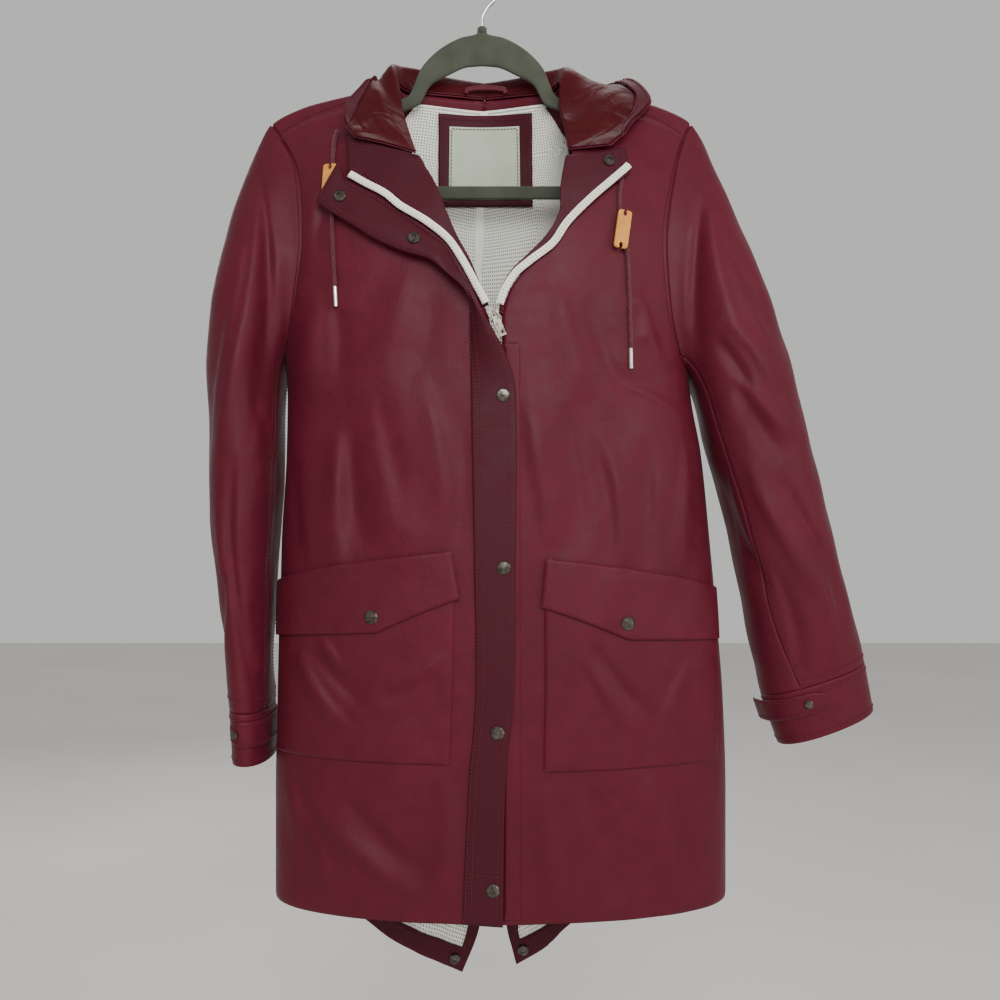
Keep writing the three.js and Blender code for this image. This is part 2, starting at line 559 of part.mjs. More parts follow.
function bodyPoint(turn, girth) {
  const face = girth < 0 ? -1 : 1;
  const over = Math.abs(girth);
  const onRoll = over < RIDGE_RADIUS * HALF_PI;
  const angle = over / RIDGE_RADIUS;
  const drop = onRoll ? RIDGE_RADIUS * (1 - Math.cos(angle)) : over - RIDGE_RADIUS * (HALF_PI - 1);
  let x = SHOULDER_HALF_WIDTH * Math.sin(turn);
  let z = 0;
  for (let pass = 0; pass < SHAPE_PASSES; pass += 1) {
    z = ridgeZ(x) - drop;
    x = bodyX(turn, z);
  }
  const roll = RIDGE_RADIUS * ridgeShare(z) * (onRoll ? Math.sin(angle) : 1);
  const depth = lookUp(DEPTHS, "drop", face < 0 ? "front" : "back", Math.max(0, drop - RIDGE_RADIUS));
  const round = powered(Math.max(0, Math.cos(turn)), OVAL_POWER);
  let y = roll + (depth + foldLift(x, z, face)) * round;
  if (face > 0) y += neckStandoff(x, z) * (onRoll ? Math.sin(angle) : 1);
  return vec(x, face * y, z);
}

// A point moved out of the body's surface along its normal.
const TURN_STEP = 0.01;
const GIRTH_STEP = 1.5;

function bodyNormal(turn, girth) {
  const low = clamp(turn - TURN_STEP, -HALF_PI, HALF_PI);
  const high = clamp(turn + TURN_STEP, -HALF_PI, HALF_PI);
  const round = bodyPoint(high, girth).sub(bodyPoint(low, girth));
  const down = bodyPoint(turn, girth + GIRTH_STEP).sub(bodyPoint(turn, girth - GIRTH_STEP));
  return round.cross(down).normalize();
}

function bodyOut(turn, girth, out) {
  return bodyPoint(turn, girth).addScaledVector(bodyNormal(turn, girth), out);
}

const frontAt = (x, z, out) => bodyOut(turnAt(x, z), girthAt(x, z, -1), out);
const frontNormal = (x, z) => bodyNormal(turnAt(x, z), girthAt(x, z, -1));

// Walls: a grid of points and the same grid moved in by the wall's thickness, closed at the edges. A lift
// moves both, for a layer that lies inside another.
const NORMAL_STEP = 0.004;

function wallNormal(point, u, v, wrapped) {
  const before = wrapped ? (u + 1 - NORMAL_STEP) % 1 : Math.max(0, u - NORMAL_STEP);
  const after = wrapped ? (u + NORMAL_STEP) % 1 : Math.min(1, u + NORMAL_STEP);
  const round = point(after, v).sub(point(before, v));
  const fall = point(u, Math.min(1, v + NORMAL_STEP)).sub(point(u, Math.max(0, v - NORMAL_STEP)));
  return round.cross(fall).normalize();
}

const evenly = (count) => Array.from({ length: count + 1 }, (_, index) => index / count);

function wall({ point, across: acrossIn, down: downIn, thickness, wrapped = false, inward = 1, lift = 0 }) {
  const us = Array.isArray(acrossIn) ? acrossIn : evenly(acrossIn);
  const vs = Array.isArray(downIn) ? downIn : evenly(downIn);
  const [across, down] = [us.length - 1, vs.length - 1];
  const columns = wrapped ? across : across + 1;
  const layer = (depth) =>
    us.slice(0, columns).map((u) =>
      vs.map((v) => point(u, v).addScaledVector(wallNormal(point, u, v, wrapped), -depth * inward)),
    );
  const outer = layer(lift);
  const inner = layer(lift + thickness);
  const position = [];
  for (const grid of [outer, inner]) {
    for (const column of grid) for (const p of column) position.push(p.x, p.y, p.z);
  }
  const rows = down + 1;
  const index = [];
  const at = (layer, i, j) => layer * columns * rows + (i % columns) * rows + j;
  const quad = (a, b, c, d) => index.push(a, b, c, a, c, d);
  for (let i = 0; i < (wrapped ? columns : columns - 1); i += 1) {
    for (let j = 0; j < down; j += 1) {
      quad(at(0, i, j), at(0, i + 1, j), at(0, i + 1, j + 1), at(0, i, j + 1));
      quad(at(1, i, j), at(1, i, j + 1), at(1, i + 1, j + 1), at(1, i + 1, j));
    }
    quad(at(0, i, 0), at(1, i, 0), at(1, i + 1, 0), at(0, i + 1, 0));
    quad(at(0, i, down), at(0, i + 1, down), at(1, i + 1, down), at(1, i, down));
  }
  if (!wrapped) {
    for (let j = 0; j < down; j += 1) {
      quad(at(0, 0, j), at(0, 0, j + 1), at(1, 0, j + 1), at(1, 0, j));
      quad(at(0, across, j), at(1, across, j), at(1, across, j + 1), at(0, across, j + 1));
    }
  }
  return closed(position, index);
}

// An indexed geometry whose faces point outwards.
function closed(position, index) {
  const geometry = new THREE.BufferGeometry();
  geometry.setAttribute("position", new THREE.Float32BufferAttribute(position, 3));
  let volume = 0;
  const corner = (k) => vec(position[3 * index[k]], position[3 * index[k] + 1], position[3 * index[k] + 2]);
  for (let k = 0; k < index.length; k += 3) {
    volume += corner(k).dot(corner(k + 1).cross(corner(k + 2)));
  }
  if (volume < 0) {
    for (let k = 0; k < index.length; k += 3) [index[k + 1], index[k + 2]] = [index[k + 2], index[k + 1]];
  }
  geometry.setIndex(index);
  geometry.computeVertexNormals();
  return geometry;
}

const part = new THREE.Group();
part.name = "raincoat";

function add(name, finish, geometry) {
  const { colour, roughness, metalness } = COLOURS[finish];
  const material = new THREE.MeshStandardMaterial({ color: colour, roughness, metalness });
  const mesh = new THREE.Mesh(geometry, material);
  mesh.name = name;
  part.add(mesh);
}

// Panels of the body, filled in between four edges given in turn and girth.
function panelPoint(edges, u, v, out) {
  const outer = edges.outer(v);
  const inner = edges.inner(v);
  const top = edges.top(u);
  const end = edges.end(u);
  const fill = (column) => {
    const lines = mix(outer[column], inner[column], u);
    const topLine = mix(edges.outer(0)[column], edges.inner(0)[column], u);
    const endLine = mix(edges.outer(1)[column], edges.inner(1)[column], u);
    return lines + (top[column] - topLine) * (1 - v) ** 3 + (end[column] - endLine) * v ** 3;
  };
  return bodyOut(fill("turn"), fill("girth"), out);
}

const onBody = (x, z, face) => ({ turn: turnAt(x, z), girth: girthAt(x, z, face) });

function armholeAt(side, angle) {
  const rows = side < 0 ? ARMHOLE_RIGHT : ARMHOLE_LEFT;
  return { x: lookUp(rows, "angle", "x", angle), z: lookUp(rows, "angle", "z", angle) };
}

const UNDERARM_Z = { right: -405, left: -418 };
const FORWARD_SEAM_ANGLE = 30;
const EDGE_INSET = 0.0005;
const edgeTurn = (side) => side * (HALF_PI - EDGE_INSET);

function frontEdges(side) {
  const underarm = side < 0 ? UNDERARM_Z.right : UNDERARM_Z.left;
  const neck = side < 0 ? NECK_EDGE_RIGHT : NECK_EDGE_LEFT;
  const outer = (v) => {
    if (v < UNDERARM_ROW) {
      const { x, z } = armholeAt(side, mix(FORWARD_SEAM_ANGLE, 180, v / UNDERARM_ROW));
      return onBody(x, z, -1);
    }
    const z = mix(underarm, FRONT_HEM_Z.outer, (v - UNDERARM_ROW) / (1 - UNDERARM_ROW));
    const x = bodyX(edgeTurn(side), z);
    return { turn: edgeTurn(side), girth: girthAt(x, z, -1) };
  };
  const inner = (v) => {
    const z =
      v < UNDERARM_ROW
        ? mix(FRONT_TOP_Z.inner, underarm, v / UNDERARM_ROW)
        : mix(underarm, FRONT_HEM_Z.inner, (v - UNDERARM_ROW) / (1 - UNDERARM_ROW));
    return onBody(lookUp(neck, "z", "x", z), z, -1);
  };
  const seam = (u) => {
    const start = outer(0);
    const end = inner(0);
    return { turn: mix(start.turn, end.turn, u), girth: mix(start.girth, end.girth, u) };
  };
  const hem = (u) => {
    const start = outer(1);
    const end = inner(1);
    const z = mix(FRONT_HEM_Z.outer, FRONT_HEM_Z.inner, u);
    const turn = mix(start.turn, end.turn, u);
    return { turn, girth: girthAt(bodyX(turn, z), z, -1) };
  };
  return { outer, inner, top: seam, end: hem };
}

const WRAP_ROW = 0.07;
const BACK_UNDERARM_ROW = 0.32;

function backEdges(side) {
  const underarm = side < 0 ? UNDERARM_Z.right : UNDERARM_Z.left;
  const hemRows = side < 0 ? TAIL_HEM_RIGHT : TAIL_HEM_LEFT;
  const sideTurn = edgeTurn(side);
  const tip = hemRows[hemRows.length - 1];
  const outer = (v) => {
    if (v < WRAP_ROW) {
      const angle = FORWARD_SEAM_ANGLE * (1 - v / WRAP_ROW);
      const { x, z } = armholeAt(side, angle);
      return onBody(x, z, -1);
    }
    if (v < BACK_UNDERARM_ROW) {
      const { x, z } = armholeAt(side, (180 * (v - WRAP_ROW)) / (BACK_UNDERARM_ROW - WRAP_ROW));
      return onBody(x, z, 1);
    }
    const z = mix(underarm, hemRows[0].z, (v - BACK_UNDERARM_ROW) / (1 - BACK_UNDERARM_ROW));
    return { turn: sideTurn, girth: girthAt(bodyX(sideTurn, z), z, 1) };
  };
  const inner = (v) => {
    const z = mix(BACK_MIDDLE[0].z - 6, tip.z, v);
    const spread = lookUp(BACK_MIDDLE, "z", side < 0 ? "right" : "left", z);
    const x = lookUp(BACK_MIDDLE, "z", "seam", z) + side * (SEAM_GAP / 2) + spread;
    return onBody(x, z, 1);
  };
  const shoulder = frontEdges(side).inner(0);
  const neck = (u) => {
    if (u <= SHOULDER_SHARE) {
      const share = u / SHOULDER_SHARE;
      const gap = SEAM_GAP * Math.min(1, share * PANEL_COLUMNS.length);
      return {
        turn: mix(outer(0).turn, shoulder.turn, share),
        girth: mix(outer(0).girth, shoulder.girth, share) + gap,
      };
    }
    const share = (u - SHOULDER_SHARE) / (1 - SHOULDER_SHARE);
    return {
      turn: mix(shoulder.turn, inner(0).turn, share),
      girth: mix(lookUp(BACK_NECK, "along", "girth", share), inner(0).girth, share ** NECK_END_POWER),
    };
  };
  const hem = (u) => {
    const x = lookUp(hemRows, "u", "x", u);
    const z = lookUp(hemRows, "u", "z", u);
    return onBody(x, z, 1);
  };
  return { outer, inner, top: neck, end: hem };
}

// Rows of the panels: one for each 15 degrees of the armhole, which the sleeves' columns share.
const PANEL_COLUMNS = [0, 0.15, 0.3, 0.45, 0.6, 0.65, 0.69, 0.74, 0.82, 0.91, 1];
const HOLE_STEP = 15;
const LOWER_ROWS = 10;
const split = (from, to, count) => evenly(count).map((share) => mix(from, to, share));
const FRONT_ROWS = [
  ...split(0, UNDERARM_ROW, (180 - FORWARD_SEAM_ANGLE) / HOLE_STEP),
  ...split(UNDERARM_ROW, 1, LOWER_ROWS).slice(1),
];
const BACK_ROWS = [
  ...split(0, WRAP_ROW, (2 * FORWARD_SEAM_ANGLE) / HOLE_STEP),
  ...split(WRAP_ROW, BACK_UNDERARM_ROW, 180 / HOLE_STEP).slice(1),
  ...split(BACK_UNDERARM_ROW, 1, LOWER_ROWS).slice(1),
];

function bodyPanels() {
  for (const [side, name] of [[-1, "right"], [1, "left"]]) {
    const front = frontEdges(side);
    add(`front_${name}`, "shell", wall({
      point: (u, v) => panelPoint(front, u, v, 0), across: PANEL_COLUMNS, down: FRONT_ROWS, thickness: CLOTH,
      inward: -side,
    }));
    const back = backEdges(side);
    add(`back_${name}`, "shell", wall({
      point: (u, v) => panelPoint(back, u, v, 0), across: PANEL_COLUMNS, down: BACK_ROWS, thickness: CLOTH,
      inward: -side,
    }));
  }
}

// Sleeves: angle runs round the arm from its top (0) by the front (90) to the inside (180).
const SLEEVE_POWER = 0.9;
const ARMHOLE_GAP = 1.2;
const SLEEVE_START = 0.004;

function sleeveRing(side, degrees, s) {
  const rows = side < 0 ? SLEEVE_RIGHT : SLEEVE_LEFT;
  const column = (name) => lookUp(rows, "s", name, s);
  const angle = radians(degrees);
  const swing = powered(Math.cos(angle), SLEEVE_POWER);
  const depth = powered(Math.sin(angle), SLEEVE_POWER) * (degrees <= 180 ? column("front") : column("back"));
  const ring = vec(
    mix(column("inX"), column("topX"), (1 + swing) / 2),
    -depth,
    mix(column("inZ"), column("topZ"), (1 + swing) / 2),
  );
  const share = column("armhole");
  if (share <= 0) return ring;
  const face = degrees <= 180 ? -1 : 1;
  const { x, z } = armholeAt(side, degrees <= 180 ? degrees : 360 - degrees);
  const hole = bodyPoint(turnAt(x, z), girthAt(x, z, face)).add(vec(side * ARMHOLE_GAP, 0, 0));
  return ring.lerp(hole, share);
}

function sleeveNormal(side, degrees, s) {
  const round = sleeveRing(side, degrees + 2, s).sub(sleeveRing(side, degrees - 2, s));
  const fall = sleeveRing(side, degrees, Math.min(s + 0.02, 1.08)).sub(sleeveRing(side, degrees, s - 0.02));
  return round.cross(fall).normalize().multiplyScalar(side);
}

const SLEEVE_GRID = { upper: 20, under: 4, down: 11, cuff: 2 };
const SEAM_HALF_ANGLE = 0.35;
const SLEEVE_END = 0.9995;
const CUFF_START = 1.0005;

function sleeves() {
  for (const [side, name] of [[-1, "right"], [1, "left"]]) {
    const seams = side < 0 ? SLEEVE_SEAMS_RIGHT : SLEEVE_SEAMS_LEFT;
    const rows = side < 0 ? SLEEVE_RIGHT : SLEEVE_LEFT;
    const end = rows[rows.length - 1].s;
    const shape = { down: SLEEVE_GRID.down, thickness: CLOTH, inward: side };
    add(`sleeve_upper_${name}`, "shell", wall({
      ...shape,
      across: SLEEVE_GRID.upper,
      point: (u, v) => {
        const s = mix(SLEEVE_START, SLEEVE_END, v);
        const from = lookUp(seams, "s", "back", s) - 360 + SEAM_HALF_ANGLE;
        const to = lookUp(seams, "s", "front", s) - SEAM_HALF_ANGLE;
        const degrees = mix(from, to, u);
        return sleeveRing(side, (degrees + 360) % 360, s);
      },
    }));
    add(`sleeve_under_${name}`, "shell", wall({
      ...shape,
      across: SLEEVE_GRID.under,
      point: (u, v) => {
        const s = mix(SLEEVE_START, SLEEVE_END, v);
        const from = lookUp(seams, "s", "front", s) + SEAM_HALF_ANGLE;
        const to = lookUp(seams, "s", "back", s) - SEAM_HALF_ANGLE;
        return sleeveRing(side, mix(from, to, u), s);
      },
    }));
    add(`cuff_${name}`, "shell", wall({
      across: SLEEVE_GRID.upper, down: SLEEVE_GRID.cuff, wrapped: true, thickness: CUFF_CLOTH, inward: side,
      point: (u, v) => sleeveRing(side, u * 360, mix(CUFF_START, end, v)),
    }));
  }
}

// A tab that wraps the inside of each cuff, with its columns on the cuff's own.
const CUFF_STEP = 18;
const TAB_TAPER_SHARE = 0.12;
const TAB_LIFT_FROM = 0.6;

function cuffTabs() {
  for (const [side, name] of [[-1, "right"], [1, "left"]]) {
    const tab = side < 0 ? CUFF_TAB_RIGHT : CUFF_TAB_LEFT;
    add(`cuff_tab_${name}`, "shell", wall({
      across: (tab.to - tab.from) / CUFF_STEP, down: 1, thickness: CLOTH, inward: side,
      point: (u, v) => {
        const degrees = mix(tab.from, tab.to, u);
        const taper = tab.taper * Math.max(0, 1 - u / TAB_TAPER_SHARE);
        const s = mix(tab.top + taper, tab.end - taper, v);
        const raised = Math.max(0, (u - TAB_LIFT_FROM) / (1 - TAB_LIFT_FROM));
        const out = CLOTH + LAYER_GAP + tab.lift * raised ** 2;
        return sleeveRing(side, degrees, s).addScaledVector(sleeveNormal(side, degrees, s), out);
      },
    }));
  }
}

// Pockets and their flaps lie on the fronts.
function patchPoint(shape, u, v, out) {
  const turned = ([x, z]) => [turnAt(x, z), z];
  const between = (a, b, t) => [mix(a[0], b[0], t), mix(a[1], b[1], t)];
  const corners = ["topOut", "topIn", "endOut", "endIn"].map((name) => turned(shape[name]));
  const [topOut, topIn, endOut, endIn] = corners;
  const top = between(topOut, topIn, u);
  let end = between(endOut, endIn, u);
  if (shape.point) {
    const point = turned(shape.point);
    const share = (point[0] - endOut[0]) / (endIn[0] - endOut[0]);
    end = u < share ? between(endOut, point, u / share) : between(point, endIn, (u - share) / (1 - share));
  }
  const [turn, z] = between(top, end, v);
  return bodyOut(turn, girthAt(bodyX(turn, z), z, -1), out);
}

function pockets() {
  const pocketOut = CLOTH + LAYER_GAP;
  const flapOut = pocketOut + CLOTH + LAYER_GAP;
  const pieces = [
    ["pocket_right", POCKET_RIGHT, pocketOut, 0, -1],
    ["pocket_left", POCKET_LEFT, pocketOut, 0, 1],
    ["flap_right", FLAP_RIGHT, flapOut, FLAP_FLARE, -1],
    ["flap_left", FLAP_LEFT, flapOut, FLAP_FLARE, 1],
  ];
  for (const [name, shape, out, flare, side] of pieces) {
    add(name, "shell", wall({
      across: POCKET_GRID.across, down: POCKET_GRID.down, thickness: CLOTH, inward: -side,
      point: (u, v) => patchPoint(shape, u, v, out + flare * v),
    }));
  }
}

// The placket is a flat strip below and turned over towards the wearer's right above the slider.
function placketPoint(u, v) {
  const value = (column) => along(PLACKET, column, v);
  const seam = frontAt(value("seamX"), value("seamZ"), value("seamOut"));
  const free = frontAt(value("freeX"), value("freeZ"), value("freeOut"));
  return seam.lerp(free, u).add(vec(0, -value("bow") * 4 * u * (1 - u), 0));
}

function ribbonPoint(rows, columns, u, v) {
  const value = (column) => along(rows, column, v);
  const out = value("out");
  const start = frontAt(value(columns[0]), value(columns[1]), out);
  return start.lerp(frontAt(value(columns[2]), value(columns[3]), out), u);
}

function opening() {
  add("placket", "shell", wall({
    point: placketPoint, across: PLACKET_GRID.across, down: PLACKET_GRID.down, thickness: PLACKET_CLOTH,
  }));
  add("underlap", "shell", wall({
    across: 1, down: UNDERLAP.rows, thickness: FACING_CLOTH,
    point: (u, v) => {
      const { inner, outer, topZ, endZ, out } = UNDERLAP;
      return frontAt(mix(inner, outer, u), mix(topZ, endZ, v), out);
    },
  }));
  for (const [rows, name, inward] of [[FACING_RIGHT, "right", 1], [FACING_LEFT, "left", -1]]) {
    const columns = ["zipX", "zipZ", "rollX", "rollZ"];
    add(`facing_${name}`, "facing", wall({
      across: FACING_GRID.across, down: FACING_GRID.down, thickness: FACING_CLOTH, inward,
      point: (u, v) => ribbonPoint(rows, columns, u, v),
    }));
  }
}

// Zip chains: a bar of constant width along a line on the front.
function zipPoint(rows, u, v) {
  const place = (t) => frontAt(along(rows, "x", t), along(rows, "z", t), along(rows, "out", t));
  const here = place(v);
  const run = place(Math.min(1, v + 0.01)).sub(place(Math.max(0, v - 0.01)));
  const normal = frontNormal(along(rows, "x", v), along(rows, "z", v));
  const across = run.cross(normal).normalize();
  return here.addScaledVector(across, (0.5 - u) * ZIP_WIDTH);
}

const ZIP_PIECES = [["right", ZIP_RIGHT, 20], ["left", ZIP_LEFT, 20], ["closed", ZIP_CLOSED, 12]];

function zips() {
  for (const [name, rows, down] of ZIP_PIECES) {
    add(`zip_chain_${name}`, "zip", wall({
      across: 1, down, thickness: ZIP_THICKNESS, inward: -1, point: (u, v) => zipPoint(rows, u, v),
    }));
  }
}

// Hood: profiles through the neck seam, crest, pouch and rim of each section.
function hoodKnots(side, s) {
  const rows = side < 0 ? HOOD_RIGHT : HOOD_LEFT;
  const flat = rows.map((row) => ({
    s: row.s,
    ...Object.fromEntries(
      ["neck", "crest", "low", "rim"].flatMap((name) => row[name].map((value, axis) => [name + axis, value])),
    ),
  }));
  const knot = (name) => vec(...[0, 1, 2].map((axis) => lookUp(flat, "s", name + axis, s)));
  const [neck, crest, low, rim] = ["neck", "crest", "low", "rim"].map(knot);
  const hang = clamp((s - POUCH_FROM) / (1 - POUCH_FROM), 0, 1);
  const fall = crest.clone().lerp(low, BELLY_SHARE).add(vec(0, -POUCH_DEPTH * hang, BELLY_RISE * hang));
  const rise = low.clone().lerp(rim, BELLY_SHARE).add(vec(0, POUCH_DEPTH * hang, 0));
  return [neck, crest, fall, low, rise, rim];
}

function hoodPoint(side, s, v) {
  return new THREE.CatmullRomCurve3(hoodKnots(side, s), false, "centripetal").getPoint(v);
}

const HOOD_COLUMNS = [0, 0.1, 0.2, 0.29, 0.37, 0.44, 0.5, 0.54, 0.6, 0.67, 0.77, 0.88, 1];
const HOOD_ROWS = 12;
const HOOD_FACING_ROW = 10;

function hood() {
  const lift = CLOTH + LAYER_GAP;
  const columns = HOOD_COLUMNS;
  const rows = evenly(HOOD_ROWS);
  const inset = (shares) => [
    shares[0] + HOOD_INSET, ...shares.slice(1, -1), shares[shares.length - 1] - HOOD_INSET,
  ];
  for (const [side, name] of [[-1, "right"], [1, "left"]]) {
    const shape = { point: (u, v) => hoodPoint(side, u, v), inward: side };
    add(`hood_${name}`, "shell", wall({ ...shape, across: columns, down: rows, thickness: CLOTH }));
    add(`hood_lining_${name}`, "satin", wall({
      ...shape, across: inset(columns), down: inset(rows.slice(0, HOOD_FACING_ROW + 1)), lift,
      thickness: LINING_CLOTH,
    }));
    add(`hood_facing_${name}`, "facing", wall({
      ...shape, across: inset(columns), down: inset(rows.slice(HOOD_FACING_ROW)), lift: lift + HOOD_LAYER_GAP,
      thickness: FACING_CLOTH,
    }));
  }
}

// Lining, tail facings, label patch and label inside the back.
const smooth = (t) => t * t * (3 - 2 * t);

function tailFacingShare(run, inset) {
  const { width, height, ventTop, corner: turnAtShare } = TAIL_FACING;
  const innerU = 1 - width * inset;
  const lowV = 1 - height * inset;
  if (run < turnAtShare) return [mix(LINING_SIDE, innerU, run / turnAtShare), lowV];
  return [innerU, mix(lowV, ventTop, (run - turnAtShare) / (1 - turnAtShare))];
}

function liningShare(u, v) {
  const { shoulder, neck, from, to } = LINING_START;
  const start = mix(shoulder, neck, smooth(clamp((u - from) / (to - from), 0, 1)));
  return [u, mix(start, LINING_END, v)];
}

const LINING_ROWS = [
  0, 0.02, 0.04, 0.06, 0.085, 0.115, 0.15, 0.19, 0.24, 0.3, 0.37, 0.45, 0.53, 0.61, 0.69, 0.77, 0.85, 0.93, 1,
];

function backInside() {
  const lift = CLOTH + INSIDE_GAP;
  const { ventTop, corner } = TAIL_FACING;
  const hemRuns = PANEL_COLUMNS.slice(1).map((u) => ((u - LINING_SIDE) / (1 - LINING_SIDE)) * corner);
  const ventRuns = BACK_ROWS.filter((v) => v < 1 && v > ventTop).reverse()
    .map((v) => mix(corner, 1, (1 - v) / (1 - ventTop)));
  for (const [side, name] of [[-1, "right"], [1, "left"]]) {
    const back = backEdges(side);
    add(`back_lining_${name}`, "mesh", wall({
      across: PANEL_COLUMNS.slice(1), down: LINING_ROWS, thickness: LINING_CLOTH, inward: -side, lift,
      point: (u, v) => panelPoint(back, ...liningShare(u, v), 0),
    }));
    add(`tail_facing_${name}`, "facing", wall({
      across: [...hemRuns, ...ventRuns, 1], down: 1, thickness: FACING_CLOTH, inward: -side,
      lift: lift + LINING_CLOTH + TAIL_GAP,
      point: (u, v) => panelPoint(back, ...tailFacingShare(u, 1 - v), 0),
    }));
  }
  const patchDepth = lift + LINING_CLOTH + PATCH_GAP;
  for (const [name, finish, { fromX, toX, topZ, endZ }, depthIn] of [
    ["label_patch", "facing", PATCH, patchDepth],
    ["label", "label", LABEL, patchDepth + LABEL_CLOTH + LAYER_GAP],
  ]) {
    add(name, finish, wall({
      across: LABEL_GRID.across, down: LABEL_GRID.down, thickness: LABEL_CLOTH, inward: 1,
      point: (u, v) => {
        const x = mix(fromX, toX, u);
        const z = mix(topZ, endZ, v);
        return bodyOut(turnAt(x, z), girthAt(x, z, 1), -depthIn);
      },
    }));
  }
}

// Hanger with its cross bar, and the hook's bent wire.
function hanger() {
  const mirrored = (rows) => [...rows, ...[...rows].reverse().map(({ x, z }) => ({ x: -x, z }))];
  const outline = new THREE.Shape(mirrored(HANGER_OUTSIDE).map(({ x, z }) => new THREE.Vector2(x, z)));
  const inside = mirrored(HANGER_INSIDE).reverse();
  outline.holes.push(new THREE.Path(inside.map(({ x, z }) => new THREE.Vector2(x, z))));
  const plate = new THREE.ExtrudeGeometry(outline, { depth: HANGER_THICKNESS, bevelEnabled: false });
  plate.translate(0, 0, -HANGER_THICKNESS / 2);
  plate.rotateX(HALF_PI);
  add("hanger_body", "hanger", plate);

  const radius = HOOK_INSIDE_RADIUS + HOOK_WIRE / 2;
  const bend = HOOK_BEND.map((degrees) => {
    const angle = radians(degrees);
    return vec(radius * Math.cos(angle), 0, radius * Math.sin(angle) - HOOK_INSIDE_RADIUS);
  });
  const line = [...HOOK_STEM.map(({ x, z }) => vec(x, 0, z)), ...bend, vec(HOOK_END.x, 0, HOOK_END.z)];
  add("hanger_hook", "hook", tube(line, HOOK_WIRE, HOOK_SIDES, HOOK_STEPS));
}

// A round bar along a line of points.
function tube(points, width, sides, steps) {
  const ring = new THREE.Shape();
  for (let i = 0; i < sides; i += 1) {
    const angle = (2 * Math.PI * i) / sides;
    ring[i ? "lineTo" : "moveTo"]((width / 2) * Math.cos(angle), (width / 2) * Math.sin(angle));
  }
  return new THREE.ExtrudeGeometry(ring, { steps, extrudePath: new THREE.CatmullRomCurve3(points) });
}

// Stands a geometry made about +Z on a point, with +Z along a direction and its top towards up.
function standOn(geometry, point, direction, up = vec(0, 0, 1)) {
  const z = direction.clone().normalize();
  const x = up.clone().cross(z).normalize();
  const turned = new THREE.Matrix4().makeBasis(x, z.clone().cross(x), z).setPosition(point);
  return geometry.applyMatrix4(turned);
}

// A solid of revolution about +Z from rows of radius and height that start and end on the axis.
function turned(profile, sides) {
  const geometry = new THREE.LatheGeometry(profile.map(([r, h]) => new THREE.Vector2(r, h)), sides);
  return geometry.rotateX(HALF_PI);
}

function capShape({ radius, height, rim }, sides) {
  return turned([[0, 0], [radius, 0], [radius, rim], [radius * 0.8, height * 0.8], [0, height]], sides);
}

function socketShape({ radius, height, hole, depth }, sides) {
  return turned([
    [0, 0], [radius, 0], [radius, height * 0.5], [radius * 0.85, height], [hole, height],
    [hole * 0.85, height - depth], [0, height - depth],
  ], sides);
}

// Snap fasteners on the placket, its turned-over end, the flaps, the cuff tabs and the tails.
const SNAP_GAP = 0.35;
const SNAP_SIDES = 12;

function strip(point, u, v) {
  const step = 0.02;
  const round = point(u + step, v).sub(point(u - step, v));
  const run = point(u, v + step).sub(point(u, v - step));
  return { point: point(u, v), normal: round.cross(run).normalize() };
}

function snapOn(name, geometry, point, normal, lift = 0) {
  const out = normal.y > 0 ? normal.clone().negate() : normal;
  add(name, "snap", standOn(geometry, point.clone().addScaledVector(out, lift + SNAP_GAP), out));
}

function snaps() {
  PLACKET_SNAPS.forEach(({ u, v }, index) => {
    const { point, normal } = strip(placketPoint, u, v);
    snapOn(`snap_placket_${index + 1}`, capShape(CAP, SNAP_SIDES), point, normal);
  });
  LAPEL_SNAPS.forEach(({ u, v }, index) => {
    const { point, normal } = strip(placketPoint, u, v);
    snapOn(`snap_lapel_${index + 1}`, socketShape(SOCKET, SNAP_SIDES), point, normal, PLACKET_CLOTH);
  });
  const { x, z, out } = COLLAR_SNAP;
  snapOn("snap_collar", socketShape(SOCKET, SNAP_SIDES), frontAt(x, z, out), frontNormal(x, z));
  const flapOut = 2 * (CLOTH + LAYER_GAP) + FLAP_FLARE;
  for (const [name, place] of [["right", FLAP_SNAP_RIGHT], ["left", FLAP_SNAP_LEFT]]) {
    const point = frontAt(place.x, place.z, flapOut + FLAP_SNAP_LIFT);
    snapOn(`snap_flap_${name}`, capShape(CAP, SNAP_SIDES), point, frontNormal(place.x, place.z));
  }
  for (const [side, name, place] of [[-1, "right", CUFF_SNAP_RIGHT], [1, "left", CUFF_SNAP_LEFT]]) {
    const normal = sleeveNormal(side, place.angle, place.s);
    const lift = CLOTH + LAYER_GAP + SNAP_GAP;
    const point = sleeveRing(side, place.angle, place.s).addScaledVector(normal, lift);
    add(`snap_cuff_${name}`, "snap", standOn(capShape(SMALL_CAP, SNAP_SIDES), point, normal));
  }
  for (const [name, place] of [["right", TAIL_SNAP_RIGHT], ["left", TAIL_SNAP_LEFT]]) {
    const depth = -CLOTH - LINING_CLOTH - 2 * INSIDE_GAP - FACING_CLOTH;
    const at = onBody(place.x, place.z, 1);
    const normal = bodyNormal(at.turn, at.girth).negate();
    snapOn(`snap_tail_${name}`, socketShape(SOCKET, SNAP_SIDES), bodyOut(at.turn, at.girth, depth), normal);
  }
}

// Zip slider with its bridge, and the pull tab that hangs from it.
function rectangle(width, height, middleX, middleY) {
  const [x, y] = [width / 2, height / 2];
  const corners = [[-x, -y], [x, -y], [x, y], [-x, y]];
  return corners.map(([a, b]) => new THREE.Vector2(a + middleX, b + middleY));
}

function plate(outline, holes, thickness) {
  const shape = new THREE.Shape(outline);
  for (const hole of holes) shape.holes.push(new THREE.Path(hole));
  return new THREE.ExtrudeGeometry(shape, { depth: thickness, bevelEnabled: false });
}

